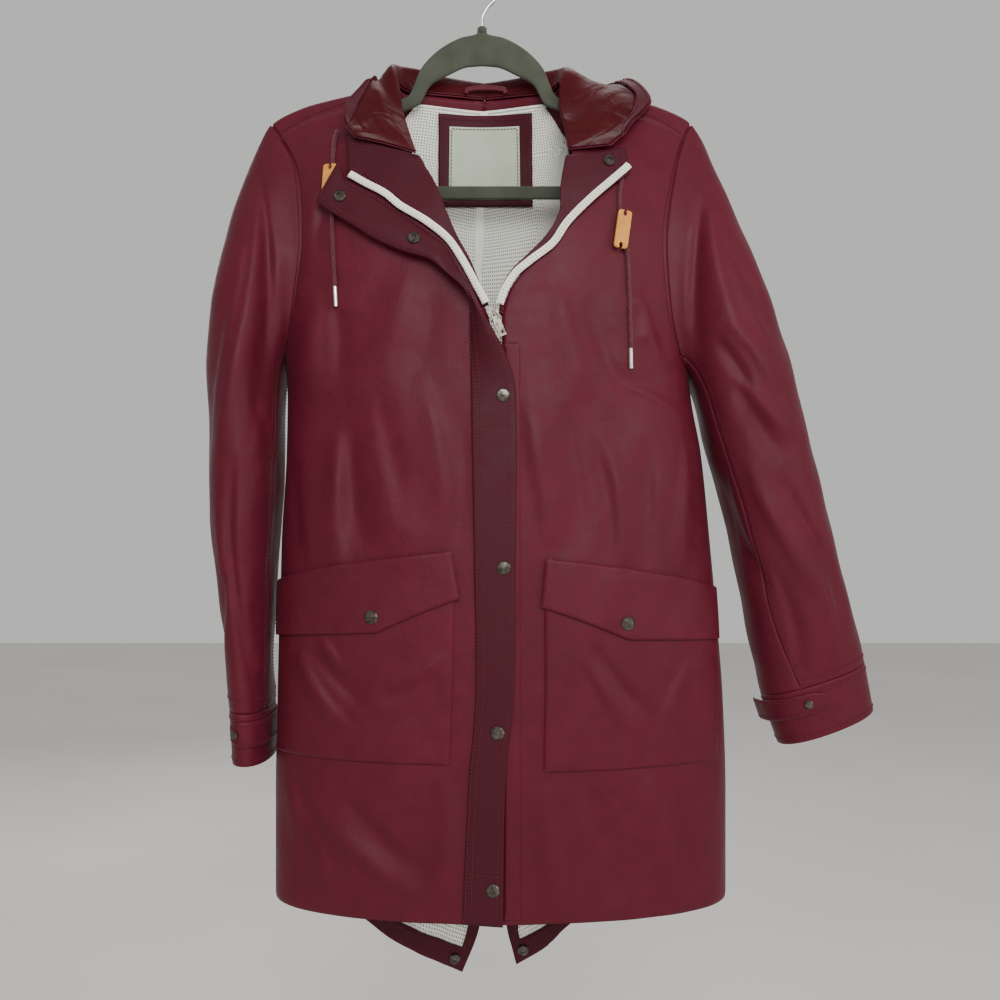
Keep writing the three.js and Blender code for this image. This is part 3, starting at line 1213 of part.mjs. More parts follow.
function leaning(degrees) {
  return vec(-Math.sin(radians(degrees)), 0, Math.cos(radians(degrees)));
}

function sliderAndPull() {
  const { width, length, thickness } = SLIDER;
  const [w, l] = [width / 2, length / 2];
  const half = SLIDER_OUTLINE.map(({ across, along: share }) => [across * w, share * l]);
  const both = [...half, ...half.map(([x, y]) => [-x, y]).reverse()];
  const outline = both.map(([x, y]) => new THREE.Vector2(x, y));
  const body = plate(outline, [], thickness);
  const span = BRIDGE.inside + 2 * BRIDGE.wire;
  const staple = plate(
    [[-span / 2, -SINK], [-BRIDGE.inside / 2, -SINK], [-BRIDGE.inside / 2, BRIDGE.height],
      [BRIDGE.inside / 2, BRIDGE.height], [BRIDGE.inside / 2, -SINK], [span / 2, -SINK],
      [span / 2, BRIDGE.height + BRIDGE.wire], [-span / 2, BRIDGE.height + BRIDGE.wire]]
      .map(([x, y]) => new THREE.Vector2(x, y)),
    [], BRIDGE.width,
  );
  staple.translate(0, 0, -BRIDGE.width / 2);
  staple.applyMatrix4(new THREE.Matrix4().makeBasis(vec(0, -1, 0), vec(0, 0, 1), vec(-1, 0, 0)));
  staple.translate(0, BRIDGE.up, thickness);
  const point = frontAt(SLIDER.x, SLIDER.z, SLIDER.out);
  const out = frontNormal(SLIDER.x, SLIDER.z);
  const up = leaning(SLIDER.lean);
  add("zip_slider", "slider", joined([body, staple].map((piece) => standOn(piece, point, out, up))));
}

function solid(geometry) {
  const bare = new THREE.BufferGeometry();
  const flat = geometry.index ? geometry.toNonIndexed() : geometry;
  bare.setAttribute("position", flat.getAttribute("position"));
  const merged = mergeVertices(bare, 1e-3);
  return new wasm.Manifold(new wasm.Mesh({
    numProp: 3,
    vertProperties: merged.attributes.position.array,
    triVerts: new Uint32Array(merged.index.array),
  }));
}

function joined(geometries) {
  const mesh = geometries.map(solid).reduce((whole, piece) => whole.add(piece)).getMesh();
  const geometry = new THREE.BufferGeometry();
  geometry.setAttribute("position", new THREE.BufferAttribute(mesh.vertProperties, 3));
  geometry.setIndex(new THREE.BufferAttribute(mesh.triVerts, 1));
  geometry.computeVertexNormals();
  return geometry;
}

function pull() {
  const { width, length, thickness, hole, holeInset, lean, swing } = PULL;
  const eyeOutline = [
    [-width / 2, 0], [width / 2, 0], [width / 2, length], [EYE.width / 2 + EYE.wall, length + EYE.length],
    [-EYE.width / 2 - EYE.wall, length + EYE.length], [-width / 2, length],
  ].map(([x, y]) => new THREE.Vector2(x, y));
  const holes = [
    rectangle(hole, hole, 0, holeInset + hole / 2),
    rectangle(EYE.width, EYE.length, 0, length + EYE.length / 2 - EYE.wall),
  ];
  const tab = plate(eyeOutline, holes, thickness);
  tab.translate(0, -length - EYE.length + EYE.wall / 2, -thickness / 2);
  tab.rotateX(radians(swing));
  const out = frontNormal(SLIDER.x, SLIDER.z);
  const bridge = SLIDER.out + SLIDER.thickness + BRIDGE.height / 2;
  const pivot = frontAt(SLIDER.x, SLIDER.z, bridge).addScaledVector(leaning(SLIDER.lean), BRIDGE.up);
  add("zip_pull_tab", "slider", standOn(tab, pivot, out, leaning(lean)));
}

// Toggles with a notch at each end, which the drawcords pass behind.
function toggle(name, { x, z, out, lean }) {
  const { width, length, thickness, notch, notchDepth, edgeRadius } = TOGGLE;
  const [w, l, n, r] = [width / 2, length / 2, notch / 2, edgeRadius];
  const shape = new THREE.Shape();
  shape.moveTo(-w, -l + r);
  shape.quadraticCurveTo(-w, -l, -w + r, -l);
  shape.lineTo(-n * 0.6, -l).lineTo(-n, -l + notchDepth * 0.6);
  shape.quadraticCurveTo(0, -l + notchDepth * 1.4, n, -l + notchDepth * 0.6);
  shape.lineTo(n * 0.6, -l).lineTo(w - r, -l);
  shape.quadraticCurveTo(w, -l, w, -l + r);
  shape.lineTo(w, l - r);
  shape.quadraticCurveTo(w, l, w - r, l);
  shape.lineTo(n * 0.6, l).lineTo(n, l - notchDepth * 0.6);
  shape.quadraticCurveTo(0, l - notchDepth * 1.4, -n, l - notchDepth * 0.6);
  shape.lineTo(-n * 0.6, l).lineTo(-w + r, l);
  shape.quadraticCurveTo(-w, l, -w, l - r);
  const settings = { depth: thickness, bevelEnabled: false, curveSegments: 3 };
  const geometry = new THREE.ExtrudeGeometry(shape, settings);
  geometry.translate(0, 0, -thickness / 2);
  add(name, "toggle", standOn(geometry, frontAt(x, z, out), frontNormal(x, z), leaning(-lean)));
}

function cords() {
  for (const [name, rows, where] of [["right", CORD_RIGHT, TOGGLE_RIGHT], ["left", CORD_LEFT, TOGGLE_LEFT]]) {
    const place = (t) => frontAt(along(rows, "x", t), along(rows, "z", t), along(rows, "out", t));
    const line = evenly(CORD_STEPS).map(place);
    add(`drawcord_${name}`, "cord", tube(line, CORD_WIDTH, CORD_SIDES, CORD_STEPS));
    toggle(`toggle_${name}`, where);
    const [before, end] = line.slice(-2);
    const run = end.clone().sub(before).normalize();
    const { radius, length, sides } = TIP;
    const tip = turned([[0, 0], [radius, 0], [radius, length], [0, length]], sides);
    const start = end.clone().addScaledVector(run, SNAP_GAP);
    add(`cord_tip_${name}`, "tip", standOn(tip, start, run, vec(0, 1, 0)));
  }
}

// The hanger loop at the middle of the neck.
function hangerLoop() {
  const { fromX, toX, endZ, topZ, y, height, thickness } = LOOP;
  const outline = new THREE.Shape();
  const middle = (fromX + toX) / 2;
  outline.moveTo(fromX, endZ);
  outline.quadraticCurveTo(fromX + 2, topZ, middle, topZ);
  outline.quadraticCurveTo(toX - 2, topZ, toX, endZ);
  outline.lineTo(toX - height, endZ);
  outline.quadraticCurveTo(toX - height - 2, topZ - height * 0.9, middle, topZ - height * 0.9);
  outline.quadraticCurveTo(fromX + height + 2, topZ - height * 0.9, fromX + height, endZ);
  const settings = { depth: thickness, bevelEnabled: false, curveSegments: 8 };
  const band = new THREE.ExtrudeGeometry(outline, settings);
  band.rotateX(HALF_PI);
  band.translate(0, y, 0);
  add("hanger_loop", "shell", band);
}

const wasm = await Module();
wasm.setup();

bodyPanels();
sleeves();
cuffTabs();
pockets();
opening();
zips();
hood();
backInside();
hanger();
hangerLoop();
cords();
snaps();
sliderAndPull();
pull();

export default part;
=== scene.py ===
"""Hooded raincoat with a fishtail back, hung on a flocked hanger.

All tables are in millimetres, in the frame of the solids: Z is up, the front faces -Y, +X is the
wearer's left and the origin is the inside top of the hook.
"""

import json
from functools import partial

import bpy
import numpy as np
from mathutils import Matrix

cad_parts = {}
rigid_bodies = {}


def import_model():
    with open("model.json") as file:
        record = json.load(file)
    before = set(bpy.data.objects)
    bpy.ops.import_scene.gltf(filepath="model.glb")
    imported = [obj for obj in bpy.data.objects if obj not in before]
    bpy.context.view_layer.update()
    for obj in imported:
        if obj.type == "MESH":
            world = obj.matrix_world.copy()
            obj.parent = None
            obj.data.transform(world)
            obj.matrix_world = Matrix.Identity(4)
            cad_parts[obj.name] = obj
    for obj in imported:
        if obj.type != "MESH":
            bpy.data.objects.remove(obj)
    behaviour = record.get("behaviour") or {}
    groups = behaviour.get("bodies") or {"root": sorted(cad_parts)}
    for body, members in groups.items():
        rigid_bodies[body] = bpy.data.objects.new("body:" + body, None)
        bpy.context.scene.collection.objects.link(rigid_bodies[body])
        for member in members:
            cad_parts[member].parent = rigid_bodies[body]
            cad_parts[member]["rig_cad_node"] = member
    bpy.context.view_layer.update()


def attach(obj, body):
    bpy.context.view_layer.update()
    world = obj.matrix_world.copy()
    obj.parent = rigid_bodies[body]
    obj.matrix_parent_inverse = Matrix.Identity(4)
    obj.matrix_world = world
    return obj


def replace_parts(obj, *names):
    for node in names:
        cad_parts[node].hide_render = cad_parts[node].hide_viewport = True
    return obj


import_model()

bl_info = {
    "name": "Hooded Raincoat",
    "version": (1, 0, 0),
    "blender": (4, 5, 0),
    "location": "3D View > Sidebar > Raincoat",
    "description": "Dresses the raincoat's solids with cloth, sewing, zip, cords and finishes",
    "category": "Object",
}

UNIT = 0.001
HALF_PI = np.pi / 2


def table(text):
    """A dict of arrays, one for each column: the first line names them, each other line is a row."""
    names, *rows = (line.split() for line in text.strip().splitlines())
    return {name: np.array(column, float) for name, column in zip(names, zip(*rows))}


def hood_table(text):
    """A hood's table, with the three columns of each of its lines put together as points."""
    rows = table(text)
    return {
        "s": rows["s"],
        **{
            name: np.stack([rows[f"{name}_{axis}"] for axis in "xyz"], axis=-1)
            for name in ("neck", "crest", "low", "rim")
        },
    }


# Shape of the coat, repeated from the solids.
CLOTH = 1.2
PLACKET_CLOTH = 1.4
CUFF_CLOTH = 1.8
FACING_CLOTH = 1.0
LINING_CLOTH = 1.0
LABEL_CLOTH = 0.8
SEAM_GAP = 0.4
LAYER_GAP = 0.8
INSIDE_GAP = 1.6
RIDGE_RADIUS = 7
SHOULDER_HALF_WIDTH = 200
SHAPE_PASSES = 5
OVAL_POWER = 0.8
SIDE_SEAM_SHARE = 0.05
SIDE_TURN = HALF_PI - 0.0005
RIDGE_FADE = {"start": -420, "length": 200}
NECK_STANDOFF = {"depth": 20, "half_width": 62, "height": 70, "at": -122}
UNDERARM_Z = {-1: -405, 1: -418}
FRONT_TOP_Z = -137
FRONT_HEM_Z = {"outer": -940, "inner": -949}
UNDERARM_ROW = 0.3
WRAP_ROW = 0.07
BACK_UNDERARM_ROW = 0.32
FORWARD_SEAM_ANGLE = 30
SHOULDER_SHARE = 0.6
NECK_END_POWER = 8
SLEEVE_POWER = 0.9
ARMHOLE_GAP = 1.2
LINING_START = {"shoulder": 0.13, "neck": 0.012, "from": 0.56, "to": 0.76, "end": 0.985}
LINING_SIDE = 0.15
TAIL_FACING = {"width": 0.045, "height": 0.025, "vent_top": 0.796, "corner": 0.6}
POUCH = {"depth": 9, "start": 0.5, "share": 0.45, "rise": 4}
UNDERLAP = {"inner": 23, "outer": 37.5, "top": -392, "end": -944, "out": 1.5}
ZIP_WIDTH = 7.2
ZIP_THICKNESS = 2.4
CORD_WIDTH = 3.8
HOOK_WIRE = 3.8
HOOK_INSIDE_RADIUS = 17
HOOK_BEND = (-20, 10, 40, 70, 90, 110, 140, 170)
HOOK_END = (-17.5, -27)
LOOP = {"from": -20, "to": 27, "end": -121, "top": -112.5, "y": 20.2, "height": 5.6, "thickness": 2}
PATCH = {"from": -47, "to": 53, "top": -140, "end": -233}
LABEL = {"from": -36, "to": 40, "top": -152, "end": -226}
POCKETS = {
    "pocket_right": ((-201, -640), (-25, -606), (-202, -791), (-30, -796), None),
    "pocket_left": ((231, -644), (60, -612), (231, -797), (60, -803), None),
    "flap_right": ((-202.5, -626), (-28, -592), (-201, -678), (-20, -637), (-99, -670)),
    "flap_left": ((231, -631), (62, -599), (232, -681), (57, -645), (141, -677)),
}
FLAP_FLARE = 1.2
CUFF_TABS = {
    -1: {"from": 54, "to": 342, "top": 1.012, "end": 1.052, "taper": 0.008, "lift": 3},
    1: {"from": 90, "to": 198, "top": 1.014, "end": 1.064, "taper": 0.01, "lift": 8},
}

RIDGE = table("""
from z
  0 -119
 60 -119
 80 -121
169 -139
200 -151
214 -160
230 -176
""")

SIDES = table("""
z right left
-100 -226 226
-160 -224 222
-230 -212 214
-320 -203 208
-405 -198 208
-441 -196 211
-497 -197 221
-586 -202 230
-686 -204 239
-741 -206 243
-835 -208 246
-950 -208 246
""")

DEPTHS = table("""
drop front back
  0  0  0
 25 11 10
 55 28 22
100 44 34
155 57 43
275 67 53
455 70 56
830 71 58
""")

FOLDS = table("""
face top_x top_z end_x end_z width lift
-1 -150 -420 -126  -620 26 -6
-1  -88 -400  -74  -620 30  5
-1  112 -420  140  -620 30 -5
-1  168 -430  190  -640 26  5
 1 -122 -420 -138 -1030 36  8
 1  -58 -440  -64 -1040 32 -6
 1   76 -420   82 -1040 34 -6
 1  150 -430  168 -1030 36  8
""")

ARMHOLE_RIGHT = table("""
angle x z
  0   -214 -160
 30   -202 -177
 60   -181 -221
 90   -176 -282
120   -184 -344
150   -194 -388
180 -198.5 -405
""")

ARMHOLE_LEFT = table("""
angle x z
  0   212 -160
 30   202 -178
 60   188 -224
 90 178.5 -289
120 183.5 -352
150   197 -400
180 209.5 -418
""")

SLEEVE_RIGHT = table("""
s top_x top_z in_x in_z front back armhole
   0 -214.8 -160 -199.2 -405 34 22    1
0.04   -229 -178   -201 -411 38 27  0.8
0.09   -240 -203   -202 -420 46 36 0.55
0.16   -253 -240   -203 -434 56 48  0.3
0.23   -261 -280 -203.5 -452 64 56  0.1
0.34   -270 -342 -203.5 -486 69 62    0
0.46   -275 -412   -204 -524 68 62    0
0.58   -275 -484 -206.5 -566 66 60    0
 0.7   -272 -556 -210.5 -612 64 58    0
0.82   -265 -632   -213 -664 61 56    0
0.91   -259 -694   -215 -706 58 54    0
   1   -253 -750   -214 -752 56 53    0
1.08   -250 -802   -213 -803 54 51    0
""")

SLEEVE_LEFT = table("""
s top_x top_z in_x in_z front back armhole
   0 212.8 -160 210.2 -418 34 22    1
0.04   226 -178   212 -422 38 27  0.8
0.09   237 -199   214 -428 45 36 0.55
0.16   249 -230   217 -438 54 46  0.3
0.23   264 -270   220 -452 60 53  0.1
0.34   290 -336   225 -478 62 56    0
0.46   314 -412   234 -512 58 54    0
0.58   335 -498   247 -556 54 50    0
 0.7   354 -574   259 -614 50 46    0
0.82   372 -642   270 -672 46 43    0
0.91   381 -676   278 -708 43 41    0
   1   388 -706   285 -740 40 39    0
1.12   397 -754   302 -790 38 37    0
""")

SLEEVE_SEAMS_RIGHT = table("""
s front back
  0 150 210
0.4 160 205
  1 158 205
""")

SLEEVE_SEAMS_LEFT = table("""
s front back
  0 150 210
0.4 142 215
0.8 128 225
  1 112 235
""")

NECK_EDGE_RIGHT = table("""
z x
-137  -98
-160  -86
-185  -76
-212  -63
-240  -49
-260  -40
-292  -28
-321  -13
-352    1
-375    9
-410 10.5
-950    7
""")

NECK_EDGE_LEFT = table("""
z x
-137 89.5
-171   89
-200   89
-225   84
-250   81
-266   82
-277   76
-304   57
-326   38
-345   26
-372   20
-410 20.5
-950   20
""")

BACK_NECK = table("""
along girth
   0 -17.7
0.12    -4
0.22     7
0.34    10
   1    10
""")

BACK_MIDDLE = table("""
z seam right left
 -120  2   0  0
 -350 -6   0  0
 -600  2   0  0
 -850 10   0  0
 -950 11  -7  8
-1000 11 -14 14
-1050 11 -33 26
""")

TAIL_HEM_RIGHT = table("""
u x z
  0 -208  -941
0.2 -172  -957
0.4 -131  -985
0.6  -98 -1011
0.8  -60 -1031
  1  -22 -1048
""")

TAIL_HEM_LEFT = table("""
u x z
  0 246  -941
0.2 200  -955
0.4 140  -974
0.6  98  -992
0.8  68 -1020
  1  36 -1040
""")

PLACKET = table("""
seam_x seam_z seam_out free_x free_z free_out bow
 -17.8   -948 3.1     21   -950  4.8   0
   -12   -820 3.1     23   -825  4.8   0
  -4.8   -714 3.1     32   -714    5 0.5
  -6.5   -600 3.1     33   -600  4.8   0
  -8.4   -500 3.1   34.5   -502  4.8   0
  -9.6   -436 3.1     33   -440  5.6   1
 -10.2   -404 3.1     25   -407  9.6   4
 -10.8   -380 3.4     14   -385 14.6   7
 -10.8   -360 4.4      0   -364 18.6   7
   -13   -341 4.8    -15   -345   19   4
   -23 -320.5 4.4    -32   -329   16   3
 -35.5 -299.5 4.2  -48.5   -315 13.6   4
 -55.5   -283 4.2    -72   -307 11.6   4
   -80 -266.5 4.4    -98   -295 10.8   4
   -97   -254 4.8   -120   -281 10.8   3
  -116   -243 6.4   -137   -270   11   2
-132.5   -232 9.4   -150 -260.5 11.6   1
  -137   -214  11 -157.5   -254   12   1
""")

FACING_RIGHT = table("""
zip_x zip_z roll_x roll_z out
     3   -359   7.5   -356 2.4
  -8.5   -338    -1   -335 4.4
 -20.5 -315.5 -10.5   -312 4.4
 -34.5   -295 -22.9   -289 4.6
   -54   -279   -32   -268 4.8
   -79   -262 -38.5   -251   5
   -95 -249.5 -43.5 -238.7   5
  -114   -238   -49   -228   5
-130.5 -222.5 -53.5   -221   5
  -131   -200   -57   -214   6
-133.5 -185.5   -60 -210.5   8
""")

FACING_LEFT = table("""
zip_x zip_z roll_x roll_z out
 20.5   -368   17   -364 1.9
   25   -347 18.5   -344 4.4
   36   -329   29   -323 4.4
   50   -317   44   -308 4.4
   72   -299   62   -289 4.4
   85   -280   72   -273 4.6
  109 -254.5   76   -260 5.4
  127   -238 75.5   -247   7
  144   -221   77   -234 8.4
140.5 -198.5 81.5 -210.5   9
""")

ZIP_RIGHT = table("""
x z out
-127.7 -225.7 8.6
-111.6 -235.8 8.3
 -92.6 -246.9 8.2
 -77.8 -259.6 8.2
 -51.5   -276   8
 -31.4 -292.8 7.8
   -17 -314.2 7.6
  -4.5 -337.4 7.6
     5   -355 7.6
""")

ZIP_LEFT = table("""
x z out
142.7 -217.8 11.8
124.3 -234.6 10.6
106.3   -251    9
 81.7   -277    8
 69.1 -295.9  7.8
   47 -313.7  7.6
 32.6 -326.3  7.6
 21.6 -344.7  7.6
   18   -356  7.6
""")

ZIP_CLOSED = table("""
x z out
13.5 -376 0.6
15.3 -410 0.6
14.5 -650 0.6
13.5 -905 0.6
""")

HOOD_RIGHT = hood_table("""
s neck_x neck_y neck_z crest_x crest_y crest_z low_x low_y low_z rim_x rim_y rim_z
   0  -124  -46   -188 -127 -46 -185 -130 -47 -182 -133 -48 -179
0.16   -95  -46   -195 -106 -39 -184 -122 -37 -174 -136 -42 -168
0.32   -64  -44   -204  -84 -37 -180 -110 -27 -158 -136 -33 -153
0.44   -78  -21   -160  -86 -18 -148 -104 -14 -132 -126 -19 -134
0.54 -86.5   -2 -119.8  -92  -2 -104 -106   6 -115 -117 -10 -117
 0.6   -79    9 -122.6  -89   9  -98 -106  22 -119 -112  -5 -114
 0.7   -67 13.5 -123.6  -71  18  -98 -120  44 -190 -128  28 -112
0.85   -38 20.5 -123.6  -41  28 -103  -92  76 -290 -100  72 -118
   1   1.4 27.4   -125  1.4  34 -108  1.4  90 -372  1.4  96 -132
""")

HOOD_LEFT = hood_table("""
s neck_x neck_y neck_z crest_x crest_y crest_z low_x low_y low_z rim_x rim_y rim_z
   0  128  -46   -196 132 -44 -192 136 -43 -188 140 -42 -185
0.16   86  -44   -200 106 -38 -190 130 -31 -178 150 -32 -170
0.32   82  -31   -173 108 -24 -158 138 -18 -148 165 -20 -152
0.44   78  -12   -148  98  -9 -126 134  -4 -128 171 -14 -141
0.54   79   -2 -119.6  88   2 -105 118   8 -118 162   2 -120
 0.6 71.5    9 -122.6  84  11 -100 114  22 -119 155  10 -112
 0.7   62 14.5 -123.6  64  20 -101 120  44 -190 132  32 -106
0.85   36   21 -123.6  40  28 -104  94  76 -290 104  72 -116
   1  2.8 27.4   -125 2.8  34 -108 2.8  90 -372 2.8  96 -132
""")

HANGER_OUTSIDE = table("""
x z
4.7    -61
4.9  -66.5
 22  -71.5
 43    -83
 61   -101
 78   -133
120   -139
169 -148.4
191   -158
202   -168
205   -182
194   -209
178   -228
164   -236
""")

HANGER_INSIDE = table("""
x z
 14   -101
 36   -110
 52   -119
 66 -140.5
120   -154
164   -164
182   -174
188   -184
177   -207
160   -223
""")

HOOK_STEM = table("""
x z
 0 -60.6
 0   -52
 4   -42
14   -31
""")

CORD_RIGHT = table("""
x z out
  -144 -176 3.3
  -146 -195 3.3
-145.5 -234 3.3
-144.5 -273 3.3
-142.5 -310 3.3
  -141 -336 3.3
""")

CORD_LEFT = table("""
x z out
  138 -222 3.3
  134 -252 3.3
136.5 -284 3.3
  141 -306 3.3
  143 -350 3.3
  144 -396 3.3
""")

SIDES_OF_COAT = ((-1, "right"), (1, "left"))
ARMHOLES = {-1: ARMHOLE_RIGHT, 1: ARMHOLE_LEFT}
NECK_EDGES = {-1: NECK_EDGE_RIGHT, 1: NECK_EDGE_LEFT}
TAIL_HEMS = {-1: TAIL_HEM_RIGHT, 1: TAIL_HEM_LEFT}
SLEEVES = {-1: SLEEVE_RIGHT, 1: SLEEVE_LEFT}
SLEEVE_SEAMS = {-1: SLEEVE_SEAMS_RIGHT, 1: SLEEVE_SEAMS_LEFT}
HOODS = {-1: HOOD_RIGHT, 1: HOOD_LEFT}
FACINGS = {-1: FACING_RIGHT, 1: FACING_LEFT}

# Share of the creases' depth, set from the panel.
CREASE_DEPTH = {"share": 1.0}

# Creases laid one by one, in mm: a soft trough (lift below 0) or ridge along a line on the cloth.
FRONT_CREASES = table("""
x z end_x end_z width lift
-181 -457  -96 -430 3.5 -1.8
 128 -434  201 -457 3.5 -1.8
-172 -225 -168 -330  12   -5
-150 -235 -158 -300  12    3
-150 -330 -172 -450  13 -3.5
-132 -330 -146 -440  10    3
 -70 -310 -104 -430  15   -3
 -50 -340  -62 -440  12  2.5
-150 -470 -128 -612  10   -6
-128 -470 -104 -600  10  3.5
-180 -500 -176 -620  10  2.5
 -86 -440  -80 -570  14    4
 -52 -420  -42 -590  10   -3
 -28 -450  -22 -590   8    2
  62 -340  108 -446  13 -3.5
  96 -350  158 -450  12  3.5
 150 -330  176 -420  12 -3.5
  58 -420   58 -590  11 -3.5
  88 -450   84 -600  12  3.5
 112 -470  138 -612  10   -5
 150 -480  166 -610  10    3
 196 -480  206 -620   9 -3.5
-178 -690 -126 -766   7 -3.6
-166 -678 -112 -748   8  2.8
-154 -672 -136 -712   5 -2.2
 -34 -690  -90 -722   6 -2.8
 -44 -706 -100 -740   7    2
 -60 -750 -126 -794   8   -2
-146 -815  -44 -906  11  3.6
-156 -836  -66 -926   9 -3.2
-192 -800 -152 -932  11   -3
-178 -806 -178 -930   9  2.6
 -42 -800  -34 -936  10 -2.6
  90 -692  152 -764   9   -3
 104 -684  170 -752   8  2.4
 206 -700  168 -792   7 -2.8
  74 -815   62 -942  10 -3.6
 104 -806  122 -936  12  3.6
 150 -806  188 -930  10 -3.6
 176 -812  212 -930   9    3
""")
BACK_CREASES = table("""
x z end_x end_z width lift
-120 -170 -160  -420 16   -4
 -96 -180 -118  -440 14  3.5
 -40 -260  -52  -560 16 -3.5
 -20 -300  -26  -620 12    3
  36 -280   44  -600 15 -3.5
  96 -180  122  -440 14  3.5
 124 -170  168  -420 16   -4
-150 -480 -168  -900 13   -4
-104 -520  -96  -960 14   -4
 -30 -560  -24  -980 11    3
  56 -560   50  -960 13  3.5
 112 -500  118  -950 13 -4.5
 190 -480  206  -900 12   -4
 -80 -860  -60 -1040  9 -2.6
 -44 -880  -36 -1044  8  2.2
  40 -890   44 -1030  8 -2.4
  84 -880   76 -1016  9  2.4
 150 -860  140  -985  9 -2.6
""")
# Creases of the sleeves lie on their front (face -1) or their back (face 1).
SLEEVE_CREASES = table("""
face x z end_x end_z width lift
-1 -221 -212 -226 -500 6.5   -6
-1 -236 -220 -240 -520   8    4
-1 -252 -280 -256 -560   8 -3.5
-1 -264 -330 -266 -600   7    3
-1 -226 -500 -232 -744   7 -5.5
-1 -244 -540 -246 -740   8  3.5
-1 -212 -440 -218 -640   5   -4
-1 -216 -600 -219 -745   5    2
-1 -257 -600 -253 -744   6   -3
-1  214 -240  222 -420   7 -4.5
-1  230 -236  246 -400   9    4
-1  250 -290  286 -400   8   -4
-1  226 -380  262 -450   7 -4.5
-1  236 -370  290 -440   8  3.5
-1  232 -430  300 -500   9   -5
-1  250 -430  312 -480   8  3.5
-1  240 -500  282 -640   7   -5
-1  268 -500  318 -640   9    4
-1  300 -520  352 -660   8 -4.5
-1  286 -610  316 -735   7   -4
-1  320 -600  362 -715   8    3
 1 -228 -230 -236 -520   9   -5
 1 -248 -260 -252 -560   9    4
 1 -226 -480 -230 -740   8   -4
 1 -246 -520 -244 -740   8    3
 1  232 -240  262 -420   9   -5
 1  256 -280  300 -440   9    4
 1  250 -440  300 -620   9   -5
 1  286 -460  340 -650   9    4
 1  300 -600  350 -720   8   -4
""")
# Creases of the hood: run round the hood and depth down its section, in mm.
HOOD_CREASES = table("""
x z end_x end_z width lift
 60  60  96 250  9 -2.2
 92  50 120 240  8  1.8
150 120 176 290  9   -2
196 110 214 300  8    2
236  90 250 300 11 -4.5
262  96 286 300 10    4
292  80 318 300 11 -4.5
322 100 344 290  9  3.5
352  90 366 290 10 -4.5
378 110 392 280  8    3
240 200 330 236  7   -3
300 150 396 186  6  2.4
310 250 396 262  6 -2.6
""")
# Cloth stays flat round the hardware set in it: place on the front and how far from it.
FLAT_SPOTS = table("""
x z radius
-104 -655 20
 140 -661 20
  12 -366 26
-147 -234 24
-145 -290 16
-142 -336 20
 135 -282 26
 141 -330 16
 143 -370 16
 144 -400 20
 137 -240 20
 123 -213 22
-150 -200 18
  25 -393 16
  22 -567 16
  20 -735 16
  14 -905 16
""")
BACK_FLAT_SPOTS = table("""
x z radius
-30 -1033 16
 43 -1024 16
""")


def each_row(rows):
    """A table's rows, one dict each."""
    return [dict(zip(rows, row)) for row in zip(*rows.values())]


def far_along(points):
    """How far along a line each of its points is."""
    return np.concatenate([[0], np.cumsum(np.linalg.norm(np.diff(points, axis=0), axis=-1))])


def clamp(value, low, high):
    return np.minimum(np.maximum(value, low), high)


def mix(a, b, t):
    return a + (b - a) * t


def smooth(t):
    t = clamp(t, 0, 1)
    return t * t * (3 - 2 * t)


def look_up(rows, key, column, at):
    """Smooth value of a table's column at a key, without overshoot between rows."""
    keys, values = rows[key], rows[column]
    if keys[0] > keys[-1]:
        keys, values = keys[::-1], values[::-1]
    at = clamp(np.asarray(at, float), keys[0], keys[-1])
    i = np.clip(np.searchsorted(keys, at) - 1, 0, len(keys) - 2)
    wide = values.ndim > 1
    gaps = np.diff(keys)
    steps = np.diff(values, axis=0) / (gaps[:, None] if wide else gaps)
    both = steps[:-1] * steps[1:]
    total = steps[:-1] + steps[1:]
    inner = np.where(both <= 0, 0, 2 * both / np.where(total == 0, 1, total))
    slopes = np.concatenate([steps[:1], inner, steps[-1:]])
    gap, t = gaps[i], (at - keys[i]) / gaps[i]
    if wide:
        gap, t = gap[..., None], t[..., None]
    return (
        values[i] * (1 + 2 * t) * (1 - t) ** 2
        + gap * slopes[i] * t * (1 - t) ** 2
        + values[i + 1] * t * t * (3 - 2 * t)
        + gap * slopes[i + 1] * t * t * (t - 1)
    )


def along(rows, column, t):
    """A table's column at t from its first row (0) to its last (1), rows evenly spaced."""
    values = rows[column]
    last = len(values) - 1
    numbered = {"index": np.arange(last + 1.0), "value": values}
    return look_up(numbered, "index", "value", np.asarray(t, float) * last)


def powered(value, power):
    return np.sign(value) * np.abs(value) ** power


def unit(vectors):
    return vectors / np.maximum(np.linalg.norm(vectors, axis=-1, keepdims=True), 1e-9)


# The body's surface: turn runs round the front or back, girth from the front hem over the ridge to the
# back hem.
def body_x(turn, z):
    right, left = look_up(SIDES, "z", "right", z), look_up(SIDES, "z", "left", z)
    return (right + left) / 2 + (left - right) / 2 * powered(np.sin(turn), OVAL_POWER)


def turn_at(x, z):
    right, left = look_up(SIDES, "z", "right", z), look_up(SIDES, "z", "left", z)
    share = clamp((x - (right + left) / 2) / ((left - right) / 2), -1, 1)
    return np.arcsin(powered(share, 1 / OVAL_POWER))


def ridge_z(x):
    return look_up(RIDGE, "from", "z", np.abs(x))


def girth_at(x, z, face):
    drop = np.maximum(0, ridge_z(x) - z)
    rolled = RIDGE_RADIUS * np.arccos(clamp(1 - drop / RIDGE_RADIUS, -1, 1))
    return face * np.where(drop < RIDGE_RADIUS, rolled, drop + RIDGE_RADIUS * (HALF_PI - 1))


